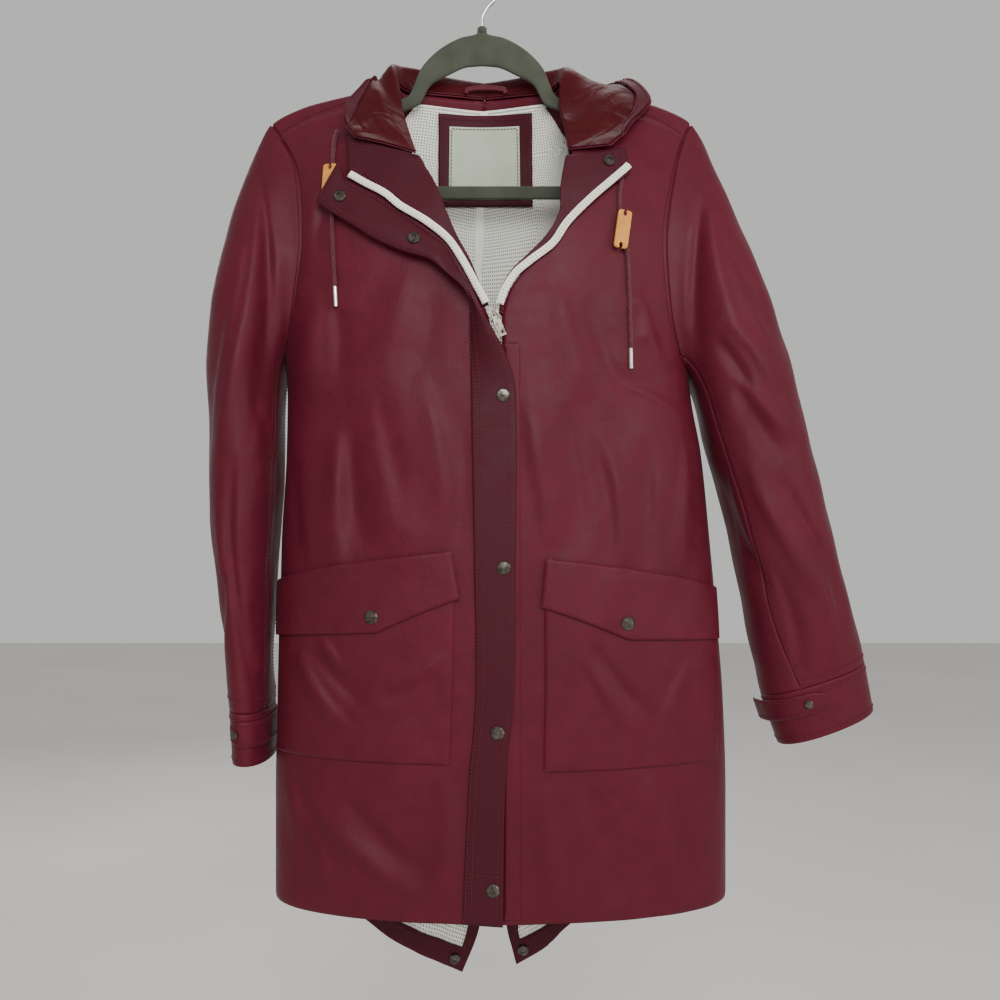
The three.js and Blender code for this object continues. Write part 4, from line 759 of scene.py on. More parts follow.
def fold_lift(x, z, face):
    lift = 0
    for fold in each_row(FOLDS):
        t = (z - fold["top_z"]) / (fold["end_z"] - fold["top_z"])
        off = (x - mix(fold["top_x"], fold["end_x"], t)) / fold["width"]
        on = (face == fold["face"]) & (t > 0) & (t < 1)
        lift = lift + np.where(on, fold["lift"] * np.sin(np.pi * clamp(t, 0, 1)) * np.exp(-off * off), 0)
    return lift


def body_point(turn, girth):
    turn, girth = np.broadcast_arrays(np.asarray(turn, float), np.asarray(girth, float))
    face = np.where(girth < 0, -1, 1)
    over = np.abs(girth)
    on_roll = over < RIDGE_RADIUS * HALF_PI
    angle = over / RIDGE_RADIUS
    drop = np.where(on_roll, RIDGE_RADIUS * (1 - np.cos(angle)), over - RIDGE_RADIUS * (HALF_PI - 1))
    x = SHOULDER_HALF_WIDTH * np.sin(turn)
    for _ in range(SHAPE_PASSES):
        z = ridge_z(x) - drop
        x = body_x(turn, z)
    share = clamp((z - RIDGE_FADE["start"]) / RIDGE_FADE["length"], SIDE_SEAM_SHARE, 1)
    rolled = np.where(on_roll, np.sin(angle), 1)
    below = np.maximum(0, drop - RIDGE_RADIUS)
    front, back = look_up(DEPTHS, "drop", "front", below), look_up(DEPTHS, "drop", "back", below)
    depth = np.where(face < 0, front, back)
    oval = powered(np.maximum(0, np.cos(turn)), OVAL_POWER)
    y = RIDGE_RADIUS * share * rolled + (depth + fold_lift(x, z, face)) * oval
    across = x / NECK_STANDOFF["half_width"]
    down = (z - NECK_STANDOFF["at"]) / NECK_STANDOFF["height"]
    standoff = NECK_STANDOFF["depth"] * np.exp(-across * across - down * down)
    y = y + np.where(face > 0, standoff * rolled, 0)
    return np.stack([x, face * y, z], axis=-1)


def body_normal(turn, girth):
    low, high = clamp(turn - 0.01, -HALF_PI, HALF_PI), clamp(turn + 0.01, -HALF_PI, HALF_PI)
    run = body_point(high, girth) - body_point(low, girth)
    down = body_point(turn, girth + 1.5) - body_point(turn, girth - 1.5)
    return unit(np.cross(run, down))


def body_out(turn, girth, out):
    out = np.asarray(out, float)
    return body_point(turn, girth) + body_normal(turn, girth) * out[..., None]


def front_at(x, z, out):
    x, z, out = np.broadcast_arrays(np.asarray(x, float), np.asarray(z, float), np.asarray(out, float))
    return body_out(turn_at(x, z), girth_at(x, z, -1), out)


def on_body(x, z, face):
    return np.stack([turn_at(x, z), girth_at(x, z, face)], axis=-1)


def armhole_at(side, angle):
    rows = ARMHOLES[side]
    return look_up(rows, "angle", "x", angle), look_up(rows, "angle", "z", angle)


def front_edges(side):
    """Outer, inner, top and hem edges of a front, each as turn and girth."""
    underarm, neck = UNDERARM_Z[side], NECK_EDGES[side]
    side_turn = side * SIDE_TURN

    def outer(v):
        high = on_body(*armhole_at(side, mix(FORWARD_SEAM_ANGLE, 180, v / UNDERARM_ROW)), -1)
        z = mix(underarm, FRONT_HEM_Z["outer"], (v - UNDERARM_ROW) / (1 - UNDERARM_ROW))
        low = np.stack([np.full_like(z, side_turn), girth_at(body_x(side_turn, z), z, -1)], axis=-1)
        return np.where((v < UNDERARM_ROW)[..., None], high, low)

    def inner(v):
        high = mix(FRONT_TOP_Z, underarm, v / UNDERARM_ROW)
        low = mix(underarm, FRONT_HEM_Z["inner"], (v - UNDERARM_ROW) / (1 - UNDERARM_ROW))
        z = np.where(v < UNDERARM_ROW, high, low)
        return on_body(look_up(neck, "z", "x", z), z, -1)

    def top(u):
        zero = np.zeros_like(u)
        return mix(outer(zero), inner(zero), u[..., None])

    def end(u):
        one = np.ones_like(u)
        turn = mix(outer(one), inner(one), u[..., None])[..., 0]
        z = mix(FRONT_HEM_Z["outer"], FRONT_HEM_Z["inner"], u)
        return np.stack([turn, girth_at(body_x(turn, z), z, -1)], axis=-1)

    return outer, inner, top, end


def back_edges(side):
    """Outer, inner, top and hem edges of a back panel, each as turn and girth."""
    underarm, hem = UNDERARM_Z[side], TAIL_HEMS[side]
    side_turn = side * SIDE_TURN

    def outer(v):
        wrap = on_body(*armhole_at(side, clamp(FORWARD_SEAM_ANGLE * (1 - v / WRAP_ROW), 0, 30)), -1)
        hole_share = clamp((v - WRAP_ROW) / (BACK_UNDERARM_ROW - WRAP_ROW), 0, 1)
        hole = on_body(*armhole_at(side, 180 * hole_share), 1)
        z = mix(underarm, hem["z"][0], (v - BACK_UNDERARM_ROW) / (1 - BACK_UNDERARM_ROW))
        low = np.stack([np.full_like(z, side_turn), girth_at(body_x(side_turn, z), z, 1)], axis=-1)
        return np.where(
            (v < WRAP_ROW)[..., None], wrap, np.where((v < BACK_UNDERARM_ROW)[..., None], hole, low)
        )

    def inner(v):
        z = mix(BACK_MIDDLE["z"][0] - 6, hem["z"][-1], v)
        spread = look_up(BACK_MIDDLE, "z", "right" if side < 0 else "left", z)
        x = look_up(BACK_MIDDLE, "z", "seam", z) + side * SEAM_GAP / 2 + spread
        return on_body(x, z, 1)

    def top(u):
        zero = np.zeros_like(u)
        shoulder, start, middle = front_edges(side)[1](zero), outer(zero), inner(zero)
        share = u / SHOULDER_SHARE
        gap = SEAM_GAP * np.minimum(1, share * 11)
        over = mix(start, shoulder, share[..., None]) + np.stack([zero, gap], axis=-1)
        share = clamp((u - SHOULDER_SHARE) / (1 - SHOULDER_SHARE), 0, 1)
        turn = mix(shoulder[..., 0], middle[..., 0], share)
        girth = look_up(BACK_NECK, "along", "girth", share)
        neck = np.stack([turn, mix(girth, middle[..., 1], share**NECK_END_POWER)], axis=-1)
        return np.where((u <= SHOULDER_SHARE)[..., None], over, neck)

    def end(u):
        return on_body(look_up(hem, "u", "x", u), look_up(hem, "u", "z", u), 1)

    return outer, inner, top, end


def panel_point(edges, u, v, out=0):
    """A panel filled in between its four edges."""
    outer, inner, top, end = edges
    zero, one = np.zeros_like(u), np.ones_like(u)
    across, down = u[..., None], v[..., None]
    lines = mix(outer(v), inner(v), across)
    top_gap = top(u) - mix(outer(zero), inner(zero), across)
    end_gap = end(u) - mix(outer(one), inner(one), across)
    place = lines + top_gap * (1 - down) ** 3 + end_gap * down**3
    if not np.any(out):
        return body_point(place[..., 0], place[..., 1])
    return body_out(place[..., 0], place[..., 1], out)


def sleeve_ring(side, degrees, s):
    """A sleeve's surface: degrees run from the top of the arm by its front to its inside."""
    rows = SLEEVES[side]
    degrees = np.mod(degrees, 360)
    value = {name: look_up(rows, "s", name, s) for name in rows if name != "s"}
    angle = np.radians(degrees)
    swing = (1 + powered(np.cos(angle), SLEEVE_POWER)) / 2
    reach = np.where(degrees <= 180, value["front"], value["back"])
    depth = powered(np.sin(angle), SLEEVE_POWER) * reach
    x = mix(value["in_x"], value["top_x"], swing)
    z = mix(value["in_z"], value["top_z"], swing)
    ring = np.stack([x, -depth, z], axis=-1)
    hole_x, hole_z = armhole_at(side, np.where(degrees <= 180, degrees, 360 - degrees))
    face = np.where(degrees <= 180, -1, 1)
    hole = body_point(turn_at(hole_x, hole_z), girth_at(hole_x, hole_z, face))
    hole = hole + np.array([side * ARMHOLE_GAP, 0, 0])
    return mix(ring, hole, value["armhole"][..., None])


def sleeve_normal(side, degrees, s):
    run = sleeve_ring(side, degrees + 2, s) - sleeve_ring(side, degrees - 2, s)
    fall = sleeve_ring(side, degrees, np.minimum(s + 0.02, 1.08)) - sleeve_ring(side, degrees, s - 0.02)
    return unit(np.cross(run, fall)) * side


def patch_point(corners, u, v, out):
    """A pocket or flap on a front, from its corners."""

    def turned(corner):
        return np.array([turn_at(*corner), corner[1]])

    top_out, top_in, end_out, end_in = (turned(corner) for corner in corners[:4])
    across = u[..., None]
    top, end = mix(top_out, top_in, across), mix(end_out, end_in, across)
    if corners[4]:
        point = turned(corners[4])
        share = (point[0] - end_out[0]) / (end_in[0] - end_out[0])
        low, high = mix(end_out, point, across / share), mix(point, end_in, (across - share) / (1 - share))
        end = np.where(across < share, low, high)
    place = mix(top, end, v[..., None])
    turn, z = place[..., 0], place[..., 1]
    return body_out(turn, girth_at(body_x(turn, z), z, -1), out)


def placket_point(u, v):
    row = {name: along(PLACKET, name, v) for name in PLACKET}
    seam = front_at(row["seam_x"], row["seam_z"], row["seam_out"])
    free = front_at(row["free_x"], row["free_z"], row["free_out"])
    bow = np.stack([0 * u, -row["bow"] * 4 * u * (1 - u), 0 * u], axis=-1)
    return mix(seam, free, u[..., None]) + bow


def facing_point(rows, u, v):
    row = {name: along(rows, name, v) for name in rows}
    start = front_at(row["zip_x"], row["zip_z"], row["out"])
    return mix(start, front_at(row["roll_x"], row["roll_z"], row["out"]), u[..., None])


def line_place(rows, t, more=0):
    return front_at(along(rows, "x", t), along(rows, "z", t), along(rows, "out", t) + more)


def zip_point(rows, u, v, more=0):
    run = line_place(rows, np.minimum(1, v + 0.01)) - line_place(rows, np.maximum(0, v - 0.01))
    x, z = along(rows, "x", v), along(rows, "z", v)
    across = unit(np.cross(run, body_normal(turn_at(x, z), girth_at(x, z, -1))))
    return line_place(rows, v, more) + across * ((0.5 - u) * ZIP_WIDTH)[..., None]


def hood_point(side, s, v):
    """The hood's surface: s runs round from the front to the middle of the back, v down its section."""
    rows = HOODS[side]
    neck, crest, low, rim = (look_up(rows, "s", name, s) for name in ("neck", "crest", "low", "rim"))
    hang = clamp((s - POUCH["start"]) / (1 - POUCH["start"]), 0, 1)
    zero = 0 * hang
    fall = mix(crest, low, POUCH["share"]) + np.stack(
        [zero, -POUCH["depth"] * hang, POUCH["rise"] * hang], axis=-1
    )
    rise = mix(low, rim, POUCH["share"]) + np.stack([zero, POUCH["depth"] * hang, zero], axis=-1)
    knots = [neck, crest, fall, low, rise, rim]
    knots = np.stack([2 * neck - crest, *knots, 2 * rim - rise])
    p = clamp(v, 0, 1) * 5
    k = np.minimum(np.floor(p).astype(int), 4)
    t = (p - k)[..., None]

    def knot(offset):
        return np.take_along_axis(knots, (k + offset)[None, ..., None], axis=0)[0]

    a, b, c, d = (knot(offset) for offset in range(4))
    gap_ab, gap_bc, gap_cd = (
        np.maximum(np.linalg.norm(end - start, axis=-1, keepdims=True) ** 0.5, 1e-4)
        for start, end in ((a, b), (b, c), (c, d))
    )
    out = (b - a) / gap_ab - (c - a) / (gap_ab + gap_bc) + (c - b) / gap_bc
    into = (c - b) / gap_bc - (d - b) / (gap_bc + gap_cd) + (d - c) / gap_cd
    out, into = out * gap_bc, into * gap_bc
    return b + out * t + (-3 * b + 3 * c - 2 * out - into) * t**2 + (2 * b - 2 * c + out + into) * t**3


# How a crease leaves a straight, even line: sway to its sides, as a share of its length, how much steeper
# one flank is, its width at its ends, and the depth over which it belongs to one face of a sleeve.
CREASE = {"sway": 0.06, "waves": 3.1, "lean": 0.3, "start": 0.8, "widening": 0.4, "fade": 0.8, "face": 24}


def crease_lift(creases, x, z, flat=None, face=None):
    """How far the creases push the cloth out at a place."""
    lift = 0.0
    for k, row in enumerate(each_row(creases)):
        run = np.array([row["end_x"] - row["x"], row["end_z"] - row["z"]])
        length = np.hypot(*run)
        dx, dz = x - row["x"], z - row["z"]
        t = (dx * run[0] + dz * run[1]) / length**2
        off = (dx * run[1] - dz * run[0]) / length
        off = off + CREASE["sway"] * length * np.sin(CREASE["waves"] * t + k)
        lean = 1 + CREASE["lean"] * np.tanh(off / row["width"]) * (-1) ** k
        width = row["width"] * lean * (CREASE["start"] + CREASE["widening"] * t)
        fade = np.sin(np.pi * clamp(t, 0, 1)) ** CREASE["fade"]
        push = row["lift"] * fade * np.exp(-((off / width) ** 2))
        if face is not None:
            push = push * clamp(0.5 + row["face"] * face / CREASE["face"], 0, 1)
        lift = lift + push
    if flat is not None:
        for x0, z0, radius in zip(flat["x"], flat["z"], flat["radius"]):
            lift = lift * smooth((np.hypot(x - x0, z - z0) - radius * 0.5) / (radius * 0.9))
    return lift


def slack(points, amount):
    """The small unevenness of hung cloth."""
    x, y, z = points[..., 0], points[..., 1], points[..., 2]
    wave = np.sin(x / 17 + 1.3 * np.sin(z / 43)) * np.sin(z / 31 + y / 29 + 0.7)
    return amount * (wave + 0.6 * np.sin(x / 8.3 - z / 13.7 + y / 11))


BODY_FADE = {"side": 24, "plain": 12, "shoulder": 50}
BODY_SLACK, SLEEVE_SLACK, FACING_SLACK = 0.4, 0.5, 0.35


def panel_edge_x(x, z):
    """Where the body's cloth ends at a height: at its armhole, or lower down at its side seam."""
    edges = []
    for side, column in SIDES_OF_COAT:
        hole, low = look_up(ARMHOLES[side], "z", "x", z), look_up(SIDES, "z", column, z)
        edges.append(np.abs(np.where(z > UNDERARM_Z[side], hole, low)))
    return np.where(x < 0, *edges)


def body_fade(x, z):
    """Creases fade out towards the armholes, side seams and shoulders, over these lengths."""
    edge = smooth((panel_edge_x(x, z) - np.abs(x)) / BODY_FADE["side"])
    return edge * smooth((ridge_z(x) - z - BODY_FADE["plain"]) / BODY_FADE["shoulder"])


def body_push(creases, flat, u, v, points):
    """How far out the body's cloth lies: its creases and slack, fading at its edges."""
    x, z = points[..., 0], points[..., 2]
    lift = crease_lift(creases, x, z, flat) * CREASE_DEPTH["share"]
    return (lift + slack(points, BODY_SLACK)) * body_fade(x, z)


push_front = partial(body_push, FRONT_CREASES, FLAT_SPOTS)
push_back = partial(body_push, BACK_CREASES, BACK_FLAT_SPOTS)


TUCK = {"in": 3.4, "rows": 0.012}
SLEEVE_ROWS = (0.004, 0.9995)
CUFF_START = 1.0005
SEAM_DEGREES = 0.1
# Length round the hood and down its section, in mm, over which its creases are drawn.
HOOD_RUN, HOOD_FALL = 400, 340
HOOD_COLLAR = {"end": 0.62, "crease_share": 0.35}


def sleeve_lift(s, points):
    lift = crease_lift(SLEEVE_CREASES, points[..., 0], points[..., 2], face=points[..., 1])
    fade = smooth((s - 0.02) / 0.1) * smooth((1.0 - s) / 0.06)
    return (lift * CREASE_DEPTH["share"] + slack(points, SLEEVE_SLACK)) * fade


def tucked(side, v, points):
    """The sleeve's first rows run in under the body's armhole edge."""
    points[..., 0] -= side * TUCK["in"] * smooth((TUCK["rows"] - v) / TUCK["rows"])
    return points


def hood_lift(s, v):
    lift = crease_lift(HOOD_CREASES, s * HOOD_RUN, v * HOOD_FALL) * CREASE_DEPTH["share"]
    share = np.where(s < HOOD_COLLAR["end"], HOOD_COLLAR["crease_share"], 1)
    return lift * smooth(v / 0.2) * smooth((1 - v) / 0.1) * share



# Meshes.
def put(name, data):
    """A new object of that name in the scene."""
    made = bpy.data.objects.new(name, data)
    bpy.context.scene.collection.objects.link(made)
    return made


def add_piece(name, points, faces, finish, slot, uv=None, polish=True):
    """A named mesh in metres that rides with the coat."""
    mesh = bpy.data.meshes.new(name)
    points = np.asarray(points, float).reshape(-1, 3) * UNIT
    mesh.from_pydata(points.tolist(), [], faces if isinstance(faces, list) else faces.tolist())
    if uv is not None:
        corners = np.zeros(len(mesh.loops), np.int32)
        mesh.loops.foreach_get("vertex_index", corners)
        layer = mesh.uv_layers.new(name="cloth")
        layer.data.foreach_set("uv", np.asarray(uv, np.float32)[corners].ravel())
    if polish:
        mesh.polygons.foreach_set("use_smooth", np.ones(len(mesh.polygons), bool))
    mesh.update()
    mesh.materials.append(finish)
    piece = put(name, mesh)
    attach(piece, "coat")
    return piece


def grid_normals(points, wrapped=False):
    if wrapped:
        run = np.roll(points, -1, axis=0) - np.roll(points, 1, axis=0)
    else:
        run = np.gradient(points, axis=0)
    return unit(np.cross(run, np.gradient(points, axis=1)))


def cut_size(points, wrapped=False):
    """Width, length and area of the flat cloth, in metres."""
    if wrapped:
        points = np.concatenate([points, points[:1]])
    run = np.linalg.norm(np.diff(points, axis=0), axis=-1)
    fall = np.linalg.norm(np.diff(points, axis=1), axis=-1)
    a = points[1:, 1:] - points[:-1, :-1]
    b = points[1:, :-1] - points[:-1, 1:]
    area = np.linalg.norm(np.cross(a, b), axis=-1).sum() / 2
    width, length = run.sum(axis=0).max() * UNIT, fall.sum(axis=1).max() * UNIT
    return width, length, min(area * UNIT**2, width * length)


# The finish and the slot of each stuff that a piece is cut from.
STUFFS = {
    "shell": ("coated_polyester", "shell"),
    "facing": ("coated_facing", "facing"),
    "satin": ("polyester_satin", "hood_lining"),
    "mesh": ("warp_knit_mesh", "mesh"),
    "tape": ("cotton_tape", "mesh"),
    "zip_tape": ("cotton_tape", "zip"),
    "label": ("woven_label", "label"),
}
EDGE_ROLL = 0.35
SMALLEST_SHEET = 0.01
TAPERED_SHARE = 0.35


def cloth(
    node, point, across, down, thickness, inward, stuff, lift=0, push=None, wrapped=False,
    declared=True, name=None,
):
    """A shell of cloth on a surface, in place of a node: its visible layer, its inside and its edges."""
    us = np.linspace(0, 1, across + 1) if np.isscalar(across) else np.asarray(across, float)
    vs = np.linspace(0, 1, down + 1) if np.isscalar(down) else np.asarray(down, float)
    if wrapped:
        us = us[:-1]
    u, v = np.meshgrid(us, vs, indexing="ij")
    plain = point(u, v)
    outward = grid_normals(plain, wrapped) * inward
    moved = plain + outward * push(u, v, plain)[..., None] if push else plain
    outward = grid_normals(moved, wrapped) * inward
    soft = EDGE_ROLL * thickness
    layers = [moved - outward * depth for depth in (lift, lift + thickness)]
    if not wrapped:
        # The outermost rows roll in, so the edge is round.
        for layer, way in zip(layers, (-1, 1)):
            for edge in (np.s_[0], np.s_[-1], np.s_[:, 0], np.s_[:, -1]):
                layer[edge] = layer[edge] + outward[edge] * way * soft
    n, m = u.shape
    index = np.arange(n * m).reshape(n, m)
    high = np.concatenate([index, index[:1]]) if wrapped else index
    a, b, c, d = high[:-1, :-1], high[1:, :-1], high[1:, 1:], high[:-1, 1:]
    outer = np.stack([a, b, c, d], axis=-1).reshape(-1, 4)
    inner = np.stack([a, d, c, b], axis=-1).reshape(-1, 4) + n * m
    rims = [(high[:-1, 0], high[1:, 0], True), (high[:-1, -1], high[1:, -1], False)]
    if not wrapped:
        rims += [(index[0, :-1], index[0, 1:], False), (index[-1, :-1], index[-1, 1:], True)]
    quads = [outer, inner]
    for start, end, forward in rims:
        ring = [start, start + n * m, end + n * m, end]
        quads.append(np.stack(ring if forward else ring[:1] + ring[:0:-1], axis=-1))
    faces = np.concatenate(quads)
    vertices = np.concatenate([layer.reshape(-1, 3) for layer in layers])
    corners = vertices[faces]
    volume = np.einsum("ij,ij->i", corners[:, 0], np.cross(corners[:, 1], corners[:, 2])).sum()
    volume += np.einsum("ij,ij->i", corners[:, 0], np.cross(corners[:, 2], corners[:, 3])).sum()
    if volume < 0:
        faces = faces[:, ::-1]
    far, deep = far_along(plain[:, m // 2]), far_along(plain[n // 2])
    flat = np.stack(np.meshgrid(far, deep, indexing="ij"), axis=-1).reshape(-1, 2) * UNIT
    finish, slot = STUFFS[stuff]
    uv = np.concatenate([flat, flat])
    piece = add_piece(name or f"cloth_{node}", vertices, faces, finish_for(finish), slot, uv=uv)
    if node:
        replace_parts(piece, node)
    if declared:
        width, length, area = cut_size(plain, wrapped)
        if area < TAPERED_SHARE * width * length:  # a tapered strip is given by its mean width
            width = area / length
        flat = (max(width, SMALLEST_SHEET), max(length, SMALLEST_SHEET))
    return piece


def tube_mesh(points, radius, sides, ripple=None):
    """Vertices and faces of a round bar along points, closed at its ends."""
    run = unit(np.gradient(points, axis=0))
    guide = np.array([0.13, -0.97, 0.21])
    across = unit(np.cross(run, guide))
    other = np.cross(run, across)
    angles = np.linspace(0, 2 * np.pi, sides, endpoint=False)
    size = np.broadcast_to(np.asarray(radius, float).reshape(-1, 1), (len(points), sides))
    if ripple is not None:
        size = size * ripple(angles[None, :], np.arange(len(points))[:, None])
    ring = (
        points[:, None]
        + across[:, None] * (np.cos(angles) * size)[..., None]
        + other[:, None] * (np.sin(angles) * size)[..., None]
    )
    index = np.arange(len(points) * sides).reshape(len(points), sides)
    after = np.roll(index, -1, axis=1)
    faces = np.stack([index[:-1], after[:-1], after[1:], index[1:]], axis=-1).reshape(-1, 4).tolist()
    faces += [index[0, ::-1].tolist(), index[-1].tolist()]
    return ring.reshape(-1, 3), faces


def at_places(places, far, rows):
    """Rows of three values again, read at other places along a line."""
    return np.stack([np.interp(places, far, rows[:, axis]) for axis in range(3)], axis=-1)


def even_steps(points, pitch):
    """The points of a line again, a pitch apart."""
    far = far_along(points)
    places = np.linspace(0, far[-1], max(2, int(round(far[-1] / pitch)) + 1))
    return at_places(places, far, points)


def smooth_line(points, count):
    """A smooth curve through points, by chord length."""
    points = np.asarray(points, float)
    far = far_along(points)
    rows = {"far": far, **{str(axis): points[:, axis] for axis in range(3)}}
    places = np.linspace(0, far[-1], count)
    return np.stack([look_up(rows, "far", str(axis), places) for axis in range(3)], axis=-1)


# Sewing: every stitch is a short thread lying on the cloth, dipping in at both ends.
STITCH = {"length": 2.7, "pitch": 3.6, "width": 0.62, "height": 0.42}
# Rings of a stitch: where along it, how thick and how high, as shares of its sizes.
STITCH_RINGS = ((-0.5, 0.45, -0.25), (-0.28, 1, 0.7), (0.28, 1, 0.7), (0.5, 0.45, -0.25))
STITCH_QUADS = np.array(
    [
        (4 * ring + k, 4 * ring + (k + 1) % 4, 4 * ring + 4 + (k + 1) % 4, 4 * ring + 4 + k)
        for ring in range(3)
        for k in range(4)
    ]
    + [(3, 2, 1, 0), (12, 13, 14, 15)]
)


def stitch_mesh(lines):
    """All the stitches of several lines, each given as points and outward normals."""
    vertices, faces, count = [], [], 0
    for points, normals in lines:
        far = far_along(points)
        if far[-1] < STITCH["pitch"]:
            continue
        places = np.arange(STITCH["pitch"] / 2, far[-1], STITCH["pitch"])
        middle, up = at_places(places, far, points), unit(at_places(places, far, normals))
        run = unit(at_places(places + 0.5, far, points) - at_places(places - 0.5, far, points))
        across = np.cross(run, up)
        rings = []
        for share, size, height in STITCH_RINGS:
            core = middle + run * share * STITCH["length"] + up * height * STITCH["height"]
            for angle in (45, 135, 225, 315):
                c, s = np.cos(np.radians(angle)), np.sin(np.radians(angle))
                offset = across * c * STITCH["width"] * size + up * s * STITCH["height"] * size
                rings.append(core + offset)
        block = np.stack(rings, axis=1)
        start = count + np.arange(len(places)) * 16
        faces.append((STITCH_QUADS[None] + start[:, None, None]).reshape(-1, 4))
        vertices.append(block.reshape(-1, 3))
        count += len(places) * 16
    return np.concatenate(vertices), np.concatenate(faces)


def seam_line(point, start, end, inward, push=None, out=0.15, count=160):
    """Points and normals along a straight line in a piece's own shares, on top of its creased cloth."""
    t = np.linspace(0, 1, count)
    u, v = mix(start[0], end[0], t), mix(start[1], end[1], t)
    step = 0.004
    here = point(u, v)

    def at(du, dv):
        return point(clamp(u + du, 0, 1), clamp(v + dv, 0, 1))

    normal = unit(np.cross(at(step, 0) - at(-step, 0), at(0, step) - at(0, -step))) * inward
    lift = push(u, v, here) if push else 0 * t
    return here + normal * (lift + out)[..., None], normal


def down_at(u, start=0.005, end=0.995):
    return (u, start), (u, end)


def across_at(v, start=0.005, end=0.995):
    return (start, v), (end, v)


def seams_on(point, inward, push, *runs, way=1, **rest):
    """Lines to sew on a piece, one for each run from its start to its end; way -1 turns the threads over."""
    lines = [seam_line(point, start, end, inward, push, **rest) for start, end in runs]
    return [(points, normals * way) for points, normals in lines]


def sew(name, lines):
    add_piece(name, *stitch_mesh(lines), finish_for("polyester_thread"), "shell")


# Finishes.
def linear(hex_colour):
    """An sRGB hex colour as linear values."""
    values = [int(hex_colour[i : i + 2], 16) / 255 for i in (1, 3, 5)]
    return tuple(c / 12.92 if c <= 0.04045 else ((c + 0.055) / 1.055) ** 2.4 for c in values)


def shade(colour, share):
    return tuple(c * share for c in tuple(colour)[:3])


def opaque(colour):
    return (*tuple(colour)[:3], 1.0)


class Finish:
    """A material in the making: each method adds one shader node and gives its output."""

    def __init__(self, name):
        self.made = bpy.data.materials.new(name)
        self.made.use_nodes = True
        self.tree = self.made.node_tree
        self.tree.nodes.clear()
        place = self.add("ShaderNodeTexCoord")
        self.where, self.flat = place.outputs["Object"], place.outputs["UV"]

    def add(self, kind, values=None, links=None, **settings):
        node = self.tree.nodes.new(kind)
        for name, value in settings.items():
            setattr(node, name, value)
        for socket, value in (values or {}).items():
            node.inputs[socket].default_value = value
        for socket, source in (links or {}).items():
            self.tree.links.new(source, node.inputs[socket])
        return node

    def noise(self, scale, where=None, **values):
        values = {"Scale": scale, **{name.title(): value for name, value in values.items()}}
        return self.add("ShaderNodeTexNoise", values, {"Vector": where or self.where}).outputs[0]

    def ramp(self, source, low, high, start=0.0, end=1.0):
        return self.add("ShaderNodeMapRange", {1: start, 2: end, 3: low, 4: high}, {0: source}).outputs[0]

    def bump(self, height, strength, distance, over=None, **settings):
        links = {"Height": height, "Normal": over} if over else {"Height": height}
        values = {"Strength": strength, "Distance": distance}
        return self.add("ShaderNodeBump", values, links, **settings).outputs[0]

    def blend(self, first, second, factor):
        """One colour turning to another, each a colour or an output, by a factor from 0 to 1."""
        values, links = {}, {0: factor}
        for socket, colour in ((6, first), (7, second)):
            if isinstance(colour, bpy.types.NodeSocket):
                links[socket] = colour
            else:
                values[socket] = opaque(colour)
        return self.add("ShaderNodeMix", values, links, data_type="RGBA").outputs[2]

    def vector(self, operation, source, value=None):
        values = {} if value is None else {1: value}
        return self.add("ShaderNodeVectorMath", values, {0: source}, operation=operation)

    def end(self, colour, gloss, normal, **values):
        values = {name.replace("_", " "): value for name, value in values.items()}
        links = {"Base Color": colour, "Roughness": gloss, "Normal": normal}
        shader = self.add("ShaderNodeBsdfPrincipled", values, links)
        self.add("ShaderNodeOutputMaterial", links={"Surface": shader.outputs["BSDF"]})
        return self.made


def coated_polyester(name, light, dark, roughness, grain=0.00022, crumple=0.0011):
    # Woven polyester with a matt polyurethane coating: a leathery, soft gleam over fine crumpling. The
    # weave's 0.3 mm pitch is too fine to show, so its grain is drawn at 1.3 mm.
    made = Finish(name)
    drift, rubbed = made.noise(11, detail=3), made.noise(60, detail=4)
    fine = made.noise(770, detail=2)
    stretched = made.add(
        "ShaderNodeMapping", {"Scale": (1.0, 1.0, 0.55)}, {"Vector": made.where}, vector_type="POINT"
    )
    folds = made.noise(42, stretched.outputs[0], detail=4, roughness=0.55, distortion=0.5)
    both = made.add("ShaderNodeMath", links={0: drift, 1: rubbed}, operation="MULTIPLY").outputs[0]
    colour = made.blend(dark, light, made.ramp(both, 0.2, 0.8, 0.1, 0.42))
    edge = made.add("ShaderNodeNewGeometry").outputs["Pointiness"]
    worn = made.ramp(edge, 0.0, 0.35, 0.53, 0.62)
    gloss = made.ramp(rubbed, roughness - 0.05, roughness + 0.07, 0.3, 0.7)
    woven = made.bump(fine, 0.55, grain, over=made.bump(folds, 0.8, crumple))
    return made.end(
        made.blend(colour, shade(light, 1.35), worn), gloss, woven,
        IOR=1.47, Specular_IOR_Level=0.19, Sheen_Weight=0.02, Sheen_Roughness=0.45,
    )


def satin_lining(name, light, dark):
    # Polyester satin weave: a sharp silky gleam with long soft wrinkles.
    made = Finish(name)
    drift = made.noise(16, detail=3)
    folds = made.noise(30, detail=4, distortion=1.2)
    rows = made.add(
        "ShaderNodeTexWave", {"Scale": 260, "Distortion": 1.5}, {"Vector": made.where}, bands_direction="Z"
    )
    woven = made.bump(rows.outputs[1], 0.2, 0.0001, over=made.bump(folds, 1.0, 0.0022))
    return made.end(
        made.blend(dark, light, drift), made.ramp(drift, 0.3, 0.45), woven,
        IOR=1.5, Specular_IOR_Level=0.13, Anisotropic=0.35, Sheen_Weight=0.02, Sheen_Roughness=0.3,
    )


